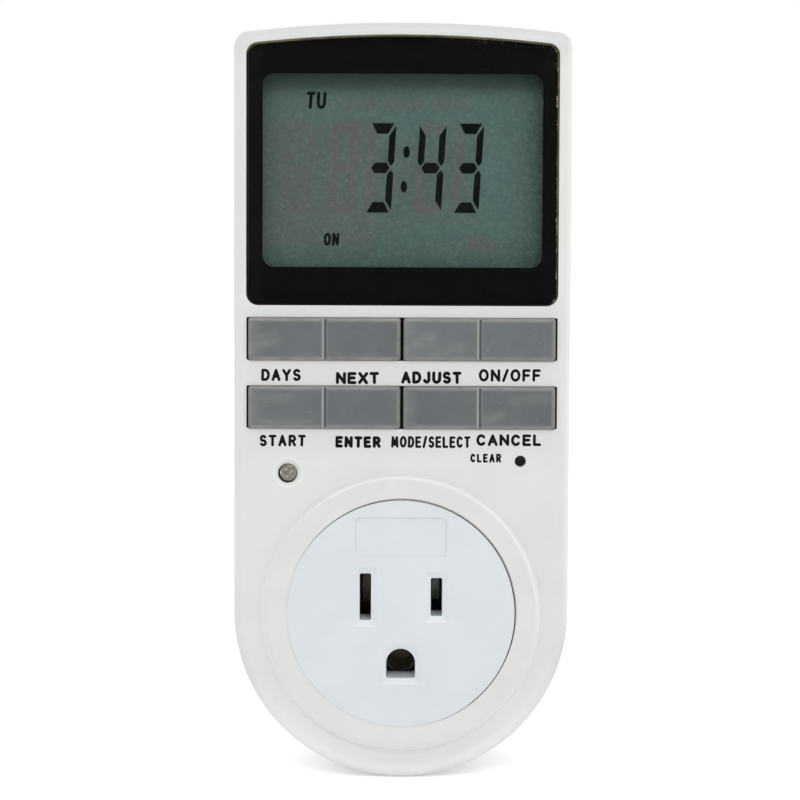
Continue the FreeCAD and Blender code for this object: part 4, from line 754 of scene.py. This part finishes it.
# Each slot of the record: what makes its finish, and from what
MAKERS = {
    "case_white": (moulded_plastic, CASE_WHITE, COVER_ROUGH, 0.22, 0.006, COVER_GLOSS),
    "outlet_white": (moulded_plastic, OUTLET_WHITE, 0.34, 0.3, 0.004, 0.35),
    "carrier_plastic": (moulded_plastic, (0.10, 0.10, 0.085), 0.45),
    "window_acrylic": (clear, (0.97, 0.98, 0.98), 0.0, (0.93, 0.94, 0.94)),
    "border_black": (border_print,),
    "display_glass": (film,),
    "reflector_sheet": (display_sheet,),
    "backing_foam": (rubber, (0.30, 0.30, 0.31)),
    "frame_plastic": (moulded_plastic, (0.55, 0.55, 0.53), 0.5),
    "strip_rubber": (rubber, (0.075, 0.070, 0.068)),
    "keypad_silicone": (rubber, (0.035, 0.035, 0.037), 0.5),
    "carbon_rubber": (rubber, (0.015, 0.015, 0.015), 0.7),
    "indicator_epoxy": (resin,),
    "circuit_board": (laminate, (0.42, 0.29, 0.10)),
    "chip_resin": (moulded_plastic, (0.01, 0.01, 0.01), 0.25),
    "switch_plastic": (moulded_plastic, (0.015, 0.015, 0.017), 0.45),
    "plunger_plastic": (moulded_plastic, (0.012, 0.012, 0.012), 0.5),
    "cell_steel": (metal, (0.62, 0.62, 0.60), 0.28),
    "tinned_metal": (metal, (0.66, 0.66, 0.64), 0.32),
    "screw_steel": (metal, (0.52, 0.51, 0.48), 0.35),
    "wire_insulation": (rubber, (0.03, 0.03, 0.03), 0.4, 0.0),
    "relay_plastic": (moulded_plastic, (0.015, 0.09, 0.36), 0.3),
    "relay_iron": (metal, (0.5, 0.5, 0.48), 0.4),
    "coil_copper": (winding, (0.55, 0.20, 0.07)),
    # The contacts' brass, painted darker as painted shade deep in the slots
    "contact_brass": (metal, (0.39, 0.37, 0.31), 0.45),
    "blade_brass": (metal, (0.78, 0.60, 0.31), 0.24, (1, 8, 1)),
    "film_capacitor_case": (moulded_plastic, (0.68, 0.42, 0.04), 0.35),
    "capacitor_sleeve": (moulded_plastic, (0.008, 0.008, 0.03), 0.25),
    "varistor_coat": (moulded_plastic, (0.02, 0.10, 0.33), 0.25, 0.5, 0.02),
    "diode_body": (moulded_plastic, (0.012, 0.012, 0.012), 0.4),
    "resistor_body": (moulded_plastic, (0.40, 0.46, 0.46), 0.5, 0.3, 0.02),
}
finishes = {name: make(name, *values) for name, (make, *values) in MAKERS.items()}


def finish_parts():
    """Gives every part of the frame the finish of its slot, or its own."""
    own = {
        "ground_contact": socket_brass("ground_brass", GROUND_BRASS, box_mm("ground_contact")[0].y),
        "display_front_glass": dusty_film("front_glass_film"),
        # The line contact's brass, painted lighter as painted light in its slot
        "line_contact": metal("line_brass_lit", LINE_BRASS_LIT, 0.45),
        "front_cover": cover_white("cover_white"),
    }
    for name, scratches in SCRATCHES.items():
        own[name] = key_grey(name + "_grey", *box_mm(name), KEY_TONES[name], scratches, SMUDGES[name])
    for row in frame["record"]["subparts"]:
        name = row["node"]
        mesh = nodes[name].data
        mesh.materials.clear()
        mesh.materials.append(own.get(name) or finishes[row["material_slot"]])


def placed(name, data):
    """Puts new data into the scene as an object."""
    thing = bpy.data.objects.new(name, data)
    bpy.context.scene.collection.objects.link(thing)
    return thing


def built(name, vertices, faces, material):
    """A new object from vertices, in metres, and faces, with one material."""
    mesh = bpy.data.meshes.new(name)
    mesh.from_pydata(vertices, [], faces)
    mesh.validate()
    mesh.materials.append(material)
    return placed(name, mesh)


# Flat shapes: outlines in x and z, joined where they overlap, and given a small thickness in y
JOIN_REACH = 1e-6
CORNER_SHARE = 0.45
CORNER_STEPS = 4
CAPSULE_STEPS = 6


def joined(polygons):
    """Points and triangles of the union of convex polygons whose corners run counterclockwise."""
    points, faces = [], []
    for polygon in polygons:
        faces.append(list(range(len(points), len(points) + len(polygon))))
        points.extend(Vector(p) for p in polygon)
    found = delaunay_2d_cdt(points, [], faces, 0, JOIN_REACH)
    triangles = [list(t) for t, sources in zip(found[2], found[5]) if sources]
    return [tuple(p) for p in found[0]], triangles


def sheet_solid(name, polygons, y0, y1, material):
    """A closed thin solid on the union of polygons, from y0 to y1."""
    points, triangles = joined(polygons)
    used = sorted({i for t in triangles for i in t})
    renumber = {old: new for new, old in enumerate(used)}
    triangles = [[renumber[i] for i in t] for t in triangles]
    count = len(used)
    vertices = [(points[i][0] * MM, y * MM, points[i][1] * MM) for y in (y0, y1) for i in used]
    sides = [side for t in triangles for side in zip(t, t[1:] + t[:1])]
    inner = set(sides)
    faces = [list(t) for t in triangles]
    faces += [[i + count for i in reversed(t)] for t in triangles]
    faces += [[b, a, a + count, b + count] for a, b in sides if (b, a) not in inner]
    return built(name, vertices, faces, material)


def arc(centre, half_x, half_z, start, end, steps):
    """Points along part of an oval, with angles in degrees."""
    turns = [math.radians(start + (end - start) * k / steps) for k in range(steps + 1)]
    return [(centre[0] + half_x * math.cos(turn), centre[1] + half_z * math.sin(turn)) for turn in turns]


def oval(centre, half_x, half_z, steps):
    return arc(centre, half_x, half_z, 0, 360, steps)[:-1]


def capsule(p, q, width):
    """The outline of a stroke with round ends from p to q."""
    radius = width / 2
    angle = math.degrees(math.atan2(q[1] - p[1], q[0] - p[0]))
    return (arc(q, radius, radius, angle - 90, angle + 90, CAPSULE_STEPS)
            + arc(p, radius, radius, angle + 90, angle + 270, CAPSULE_STEPS))


def rounded(outline, radius):
    """The outline with each corner rounded."""
    result = []
    count = len(outline)
    for i, corner in enumerate(outline):
        corner = Vector(corner)
        before = Vector(outline[i - 1]) - corner
        after = Vector(outline[(i + 1) % count]) - corner
        a = corner + before.normalized() * min(radius, before.length * CORNER_SHARE)
        b = corner + after.normalized() * min(radius, after.length * CORNER_SHARE)
        for k in range(CORNER_STEPS + 1):
            t = k / CORNER_STEPS
            result.append(tuple(a * (1 - t) ** 2 + corner * 2 * t * (1 - t) + b * t ** 2))
    return result


# A stroke alphabet: each letter's width, and the middle lines of its strokes in a cell 1 by 1
LETTERS = {
    "A": (0.95, [[(0, 0), (0.5, 1), (1, 0)], [(0.2, 0.34), (0.8, 0.34)]]),
    "C": (0.90, [arc((0.52, 0.5), 0.52, 0.5, 42, 318, 14)]),
    "D": (0.90, [[(0, 0), (0, 1), (0.4, 1)] + arc((0.4, 0.5), 0.6, 0.5, 80, -90, 10) + [(0, 0)]]),
    "E": (0.78, [[(1, 1), (0, 1), (0, 0), (1, 0)], [(0, 0.52), (0.85, 0.52)]]),
    "F": (0.75, [[(1, 1), (0, 1), (0, 0)], [(0, 0.5), (0.85, 0.5)]]),
    "J": (0.65, [[(1, 1)] + arc((0.5, 0.28), 0.5, 0.28, 0, -160, 8)]),
    "L": (0.72, [[(0, 1), (0, 0), (1, 0)]]),
    "M": (1.10, [[(0, 0), (0.1, 1), (0.5, 0.18), (0.9, 1), (1, 0)]]),
    "N": (0.92, [[(0, 0), (0, 1), (1, 0), (1, 1)]]),
    "O": (1.00, [arc((0.5, 0.5), 0.5, 0.5, 0, 360, 20)]),
    "R": (0.86, [[(0, 0), (0, 1), (0.55, 1)] + arc((0.55, 0.74), 0.45, 0.26, 80, -90, 8) + [(0, 0.48)],
                 [(0.5, 0.48), (1, 0)]]),
    "S": (0.80, [arc((0.5, 0.745), 0.46, 0.255, 35, 250, 10)
                 + arc((0.5, 0.255), 0.5, 0.255, 70, -145, 10)]),
    "T": (0.86, [[(0, 1), (1, 1)], [(0.5, 1), (0.5, 0)]]),
    "U": (0.90, [[(0, 1)] + arc((0.5, 0.34), 0.5, 0.34, 180, 360, 12) + [(1, 1)]]),
    "X": (0.92, [[(0, 0), (1, 1)], [(0, 1), (1, 0)]]),
    "Y": (0.92, [[(0, 1), (0.5, 0.48), (1, 1)], [(0.5, 0.48), (0.5, 0)]]),
    "/": (0.50, [[(0, -0.04), (1, 1.04)]]),
}


def word(text, low, high, width, gap, wobble=0.0, seed=1, slant=0.0):
    """Strokes of a word that fills the rectangle from low to high."""
    chance = random.Random(seed)
    cells = [LETTERS[c][0] for c in text]
    room = high[0] - low[0] - gap * (len(text) - 1) - width * len(text)
    unit = room / sum(cells)
    height = high[1] - low[1] - width
    x = low[0] + width / 2
    strokes = []
    for letter, cell in zip(text, cells):
        tilt = chance.uniform(-wobble, wobble)
        lift = chance.uniform(-wobble, wobble)
        for line in LETTERS[letter][1]:
            path = []
            for u, v in line:
                a, b = (u - 0.5) * cell * unit, v * height
                path.append((x + cell * unit / 2 + a - tilt * b + slant * b,
                             low[1] + width / 2 + b + tilt * a + lift))
            strokes += [capsule(p, q, width) for p, q in zip(path, path[1:])]
        x += cell * unit + width + gap
    return strokes


# Key labels: the rectangle that each word fills on the face, its stroke and the gap between letters
PRINT_HEIGHT = 0.03
PRINT_SINK = 0.02
FIRST_SEED = 3
KEY_WORDS = [
    ("DAYS", (-25.02, 41.40), (-17.99, 43.57), 0.49, 0.30),
    ("NEXT", (-11.73, 40.92), (-4.02, 43.08), 0.56, 0.27),
    ("ADJUST", (-0.10, 41.03), (10.64, 43.22), 0.56, 0.27),
    ("ON/OFF", (13.70, 41.45), (24.70, 43.68), 0.48, 0.34),
    ("START", (-25.31, 29.76), (-17.09, 31.83), 0.47, 0.34),
    ("ENTER", (-11.79, 29.55), (-3.71, 31.62), 0.56, 0.27),
    ("MODE/SELECT", (-1.86, 29.60), (12.28, 31.67), 0.43, 0.20),
    ("CANCEL", (13.33, 29.98), (24.88, 32.07), 0.50, 0.32),
    ("CLEAR", (12.28, 27.01), (17.77, 28.58), 0.37, 0.26),
]
WOBBLE = 0.025


def key_labels():
    black = ink("label_black", BLACK_PRINT, 0.6)
    for seed, (text, low, high, stroke, gap) in enumerate(KEY_WORDS, FIRST_SEED):
        strokes = word(text, low, high, stroke, gap, WOBBLE, seed)
        name = "label_" + text.lower().replace("/", "_")
        piece = sheet_solid(name, strokes, face_y - PRINT_HEIGHT, face_y + PRINT_SINK, black)
        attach(piece, "case")


# Indicator: its dome from the middle outwards, as radius and depth behind its tip
LENS_DOME = [(0.0, 0.0), (0.4, 0.01), (0.8, 0.05), (1.1, 0.11),
             (1.3, 0.18), (1.42, 0.25), (1.48, 0.33), (1.5, 0.45)]
LENS_TURNS = 48
SHARP_ANGLE = 40
FOOT_DEPTH = 1.0


def lathe(name, profile, centre, material):
    """A closed solid turned about the depth axis. The profile is radius and depth, from tip to back."""
    rings = [p for p in profile if p[0] > 0]
    vertices = [(centre[0] * MM, profile[0][1] * MM, centre[1] * MM)]
    for radius, y in rings:
        vertices += [(x * MM, y * MM, z * MM) for x, z in oval(centre, radius, radius, LENS_TURNS)]
    vertices.append((centre[0] * MM, profile[-1][1] * MM, centre[1] * MM))
    last = len(vertices) - 1
    faces = []
    for k in range(LENS_TURNS):
        after = (k + 1) % LENS_TURNS
        faces.append((0, 1 + k, 1 + after))
        for ring in range(len(rings) - 1):
            a, b = 1 + ring * LENS_TURNS, 1 + (ring + 1) * LENS_TURNS
            faces.append((a + k, b + k, b + after, a + after))
        end = 1 + (len(rings) - 1) * LENS_TURNS
        faces.append((end + k, last, end + after))
    piece = built(name, vertices, faces, material)
    piece.data.shade_smooth()
    piece.data.set_sharp_from_angle(angle=math.radians(SHARP_ANGLE))
    return piece


def indicator():
    """The indicator: a low dome that fills its hole, on a wider foot behind the face."""
    dome, foot = light_radius - LIGHT_FLANGE, light_high.y - FOOT_DEPTH
    profile = [(radius, light_low.y + depth) for radius, depth in LENS_DOME]
    profile += [(dome, foot), (light_radius, foot), (light_radius, light_high.y), (0.0, light_high.y)]
    piece = lathe("indicator_lens", profile, (light_centre.x, light_centre.z), finishes["indicator_epoxy"])
    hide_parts("indicator_light")
    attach(piece, "case")


# The outlet face touches the cover at the lower left, where a sliver closes the gap between them
INSERT_RADIUS = 20.35
SEAM_GAP = 0.13
SEAM_REACH = 0.24
SEAM_TURN = 220.0
SEAM_HALF = 88.0
SEAM_LIFT = 0.05
SEAM_UNDER = 0.12
SEAM_STEPS = 88
SEAM_THICK = 0.1


def outlet_seam():
    """Short flat pieces round the lower left of the outlet face, as wide as the gap that they close."""
    strips = []
    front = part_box("outlet_face")[0].y / MM + SEAM_LIFT
    for k in range(SEAM_STEPS):
        inner, outer = [], []
        for t in (0, 1):
            turn = SEAM_TURN - SEAM_HALF + 2 * SEAM_HALF * (k + t) / SEAM_STEPS
            reach = min(SEAM_GAP, SEAM_REACH * math.cos(math.radians(turn - SEAM_TURN)))
            across, up = math.cos(math.radians(turn)), math.sin(math.radians(turn))
            inner.append(((INSERT_RADIUS - SEAM_UNDER) * across, (INSERT_RADIUS - SEAM_UNDER) * up))
            outer.append(((INSERT_RADIUS + reach) * across, (INSERT_RADIUS + reach) * up))
        strips.append([inner[0], outer[0], outer[1], inner[1]])
    piece = sheet_solid("outlet_seam", strips, front, front + SEAM_THICK, finishes["outlet_white"])
    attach(piece, "case")


def flip(outline):
    """An outline of a digit turned upside down."""
    return [(u, DIGIT_HEIGHT - v) for u, v in reversed(outline)]


def mirror(outline):
    """An outline of a digit with its left and right changed over."""
    return [(-u, v) for u, v in reversed(outline)]


# The segments of an upright digit, from the middle of its foot
TOP_BAR = [(2.01, DIGIT_HEIGHT), (-2.01, DIGIT_HEIGHT),
           (-0.99, DIGIT_HEIGHT - BAR), (0.99, DIGIT_HEIGHT - BAR)]
UPPER_POST = [(DIGIT_HALF, DIGIT_HEIGHT - TIP), (DIGIT_HALF - POST, DIGIT_HEIGHT - 2.2),
              (DIGIT_HALF - POST, MIDDLE + 1.25), (1.845, MIDDLE + 0.34), (DIGIT_HALF, MIDDLE + 1.03)]
MIDDLE_BAR = [(-1.66, MIDDLE), (-1.03, MIDDLE - BAR / 2), (1.03, MIDDLE - BAR / 2),
              (1.66, MIDDLE), (1.03, MIDDLE + BAR / 2), (-1.03, MIDDLE + BAR / 2)]
SEGMENTS = {
    "a": TOP_BAR,
    "b": UPPER_POST,
    "c": flip(UPPER_POST),
    "d": flip(TOP_BAR),
    "e": mirror(flip(UPPER_POST)),
    "f": mirror(UPPER_POST),
    "g": MIDDLE_BAR,
}
# Segments that are on, with the middle of each digit's foot, and the words beside them
SHOWN = [("abcdg", -4.494), ("bcfg", 4.473), ("abcdg", 11.20)]
COLON = [(0.67, 82.31), (0.21, 76.12)]
COLON_HALF = (0.59, 1.04)
COLON_STEPS = 24
DISPLAY_WORDS = [
    ("TU", (-17.38, 89.92), (-13.80, 92.97), 0.56, 0.26),
    ("ON", (-14.17, 65.53), (-11.40, 67.85), 0.47, 0.22),
]
SHEET_CORNER = 0.3
FILM = 0.01
PRINT_BACK = 0.02


def digits(places):
    """Outlines of the segments in places: the keys of each digit and the middle of its foot."""
    outlines = []
    for keys, centre in places:
        for key in keys:
            corners = rounded(SEGMENTS[key], CORNER)
            outlines.append([(centre + u + LEAN * v, DIGIT_FOOT + v) for u, v in corners])
    return outlines


def border():
    """The print behind the window, with its front a hair back from the window's own plane."""
    mesh = nodes["window_border"].data.copy()
    for vertex in mesh.vertices:
        if vertex.co.y < (border_low.y + PRINT_BACK / 2) * MM:
            vertex.co.y += PRINT_BACK * MM
    piece = placed("border_film", mesh)
    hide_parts("window_border")
    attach(piece, "case")


def display():
    """The sheet behind the glasses, and the print of the digits and words in front of it."""
    plate = [(reflector_low.x, reflector_low.z), (reflector_high.x, reflector_low.z),
             (reflector_high.x, reflector_high.z), (reflector_low.x, reflector_high.z)]
    plate = rounded(plate, SHEET_CORNER)
    sheet = sheet_solid("display_sheet", [plate], sheet_y, reflector_high.y, finishes["reflector_sheet"])
    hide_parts("display_reflector")
    shown = digits(SHOWN) + [oval(c, *COLON_HALF, COLON_STEPS) for c in COLON]
    for row in DISPLAY_WORDS:
        shown += word(*row, slant=LEAN)
    front = sheet_y - FILM
    black = ink("digit_black", DIGIT_BLACK, 0.45)
    segments = sheet_solid("display_segments", shown, front - FILM, front, black)
    for piece in (sheet, segments):
        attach(piece, "case")


# Studio: the floor, a dark card, the world's light and the lamps, with lengths in metres
WHITE = (1.0, 1.0, 1.0, 1.0)
FLOOR_HALF = 4.0
FLOOR_GLOW = 0.42
CARD_HALF = 0.40
CARD_Y = -1.2
CARD_Z = 0.14
WORLD_LIGHT = 0.77
LIGHT_AIM = Vector((0.0, -0.02, 0.04))
# Place, width and height, and power in watts
LAMPS = {
    "key_light": ((0.12, -0.85, 0.70), (0.34, 0.30), 2.0),
    "right_light": ((0.95, -0.72, 0.08), (0.5, 0.4), 0.95),
    "left_light": ((-0.82, -0.86, 0.08), (0.5, 0.4), 0.80),
    "back_light": ((-0.55, 1.0, 0.75), (0.8, 0.8), 2.0),
}


def plane(name, corners, material):
    piece = built(name, corners, [tuple(range(len(corners)))], material)
    return piece


def shows_background(g):
    """1 for rays from the camera, a mirror or glass."""
    path = g.add("ShaderNodeLightPath").outputs
    return g.most(path["Is Camera Ray"], path["Is Glossy Ray"], path["Is Transmission Ray"])


def studio_floor():
    g = Graph("floor_paper")
    g.set(Base_Color=(0.90, 0.90, 0.90, 1.0), Roughness=0.9, Specular_IOR_Level=0.1)
    g.set(Emission_Color=WHITE, Emission_Strength=g.times(shows_background(g), FLOOR_GLOW))
    h, z = FLOOR_HALF, cover_low.z * MM
    plane("floor", [(-h, -h, z), (h, -h, z), (h, h, z), (-h, h, z)], g.material)


def studio_card():
    """A dark card behind the camera, which only the window and other glossy surfaces see."""
    g = Graph("card_black")
    g.set(Base_Color=(0.01, 0.01, 0.01, 1.0), Roughness=0.9, Specular_IOR_Level=0.0)
    h, y, z = CARD_HALF, CARD_Y, CARD_Z
    card = plane("dark_card", [(-h, y, z - h), (h, y, z - h), (h, y, z + h), (-h, y, z + h)], g.material)
    card.visible_camera = False
    card.visible_diffuse = False
    card.visible_shadow = False


def studio_world():
    """The world: white where it is seen, and a little dimmer as a light."""
    world = bpy.data.worlds.new("studio")
    world.use_nodes = True
    bpy.context.scene.world = world
    g = Tree(world.node_tree)
    choose = g.add("ShaderNodeMixShader")
    g.feed(choose.inputs["Fac"], shows_background(g))
    for socket, strength in zip(choose.inputs[1:], (WORLD_LIGHT, 1.0)):
        light = g.add("ShaderNodeBackground")
        g.feed(light.inputs["Color"], WHITE)
        g.feed(light.inputs["Strength"], strength)
        g.feed(socket, light.outputs["Background"])
    g.feed(g.add("ShaderNodeOutputWorld").inputs["Surface"], choose.outputs["Shader"])


def lights():
    for name, (place, size, power) in LAMPS.items():
        lamp = bpy.data.lights.new(name, "AREA")
        lamp.shape = "RECTANGLE"
        lamp.size, lamp.size_y = size
        lamp.energy = power
        holder = placed(name, lamp)
        holder.location = place
        holder.rotation_euler = (LIGHT_AIM - Vector(place)).to_track_quat("-Z", "Y").to_euler()


# Camera: fitted to the photograph, with its aim on the face, in millimetres and degrees
PICTURE_WIDTH = 800
FOCAL_PIXELS = 2164.2
SENSOR_WIDTH = 36.0
CLIP_START = 0.01
CAMERA_DISTANCE = 383.77
CAMERA_ELEVATION = 3.10
CAMERA_ROLL = 0.246
CAMERA_AIM = Vector((-0.306, -34.5, 38.195))


def camera():
    rise, roll = math.radians(CAMERA_ELEVATION), math.radians(CAMERA_ROLL)
    forward = Vector((0, math.cos(rise), -math.sin(rise)))
    level = Vector((1, 0, 0))
    up = Vector((0, math.sin(rise), math.cos(rise)))
    right = level * math.cos(roll) + up * math.sin(roll)
    top = up * math.cos(roll) - level * math.sin(roll)
    lens = bpy.data.cameras.new("camera")
    lens.sensor_width = SENSOR_WIDTH
    lens.lens = FOCAL_PIXELS / PICTURE_WIDTH * SENSOR_WIDTH
    lens.clip_start = CLIP_START
    holder = placed("camera", lens)
    turn = Matrix((right, top, -forward)).transposed().to_4x4()
    holder.matrix_world = Matrix.Translation((CAMERA_AIM - forward * CAMERA_DISTANCE) * MM) @ turn
    bpy.context.scene.camera = holder


finish_parts()
key_labels()
outlet_seam()
indicator()
border()
display()
studio_floor()
studio_card()
studio_world()
lights()
camera()
bpy.context.scene.view_settings.view_transform = "Standard"
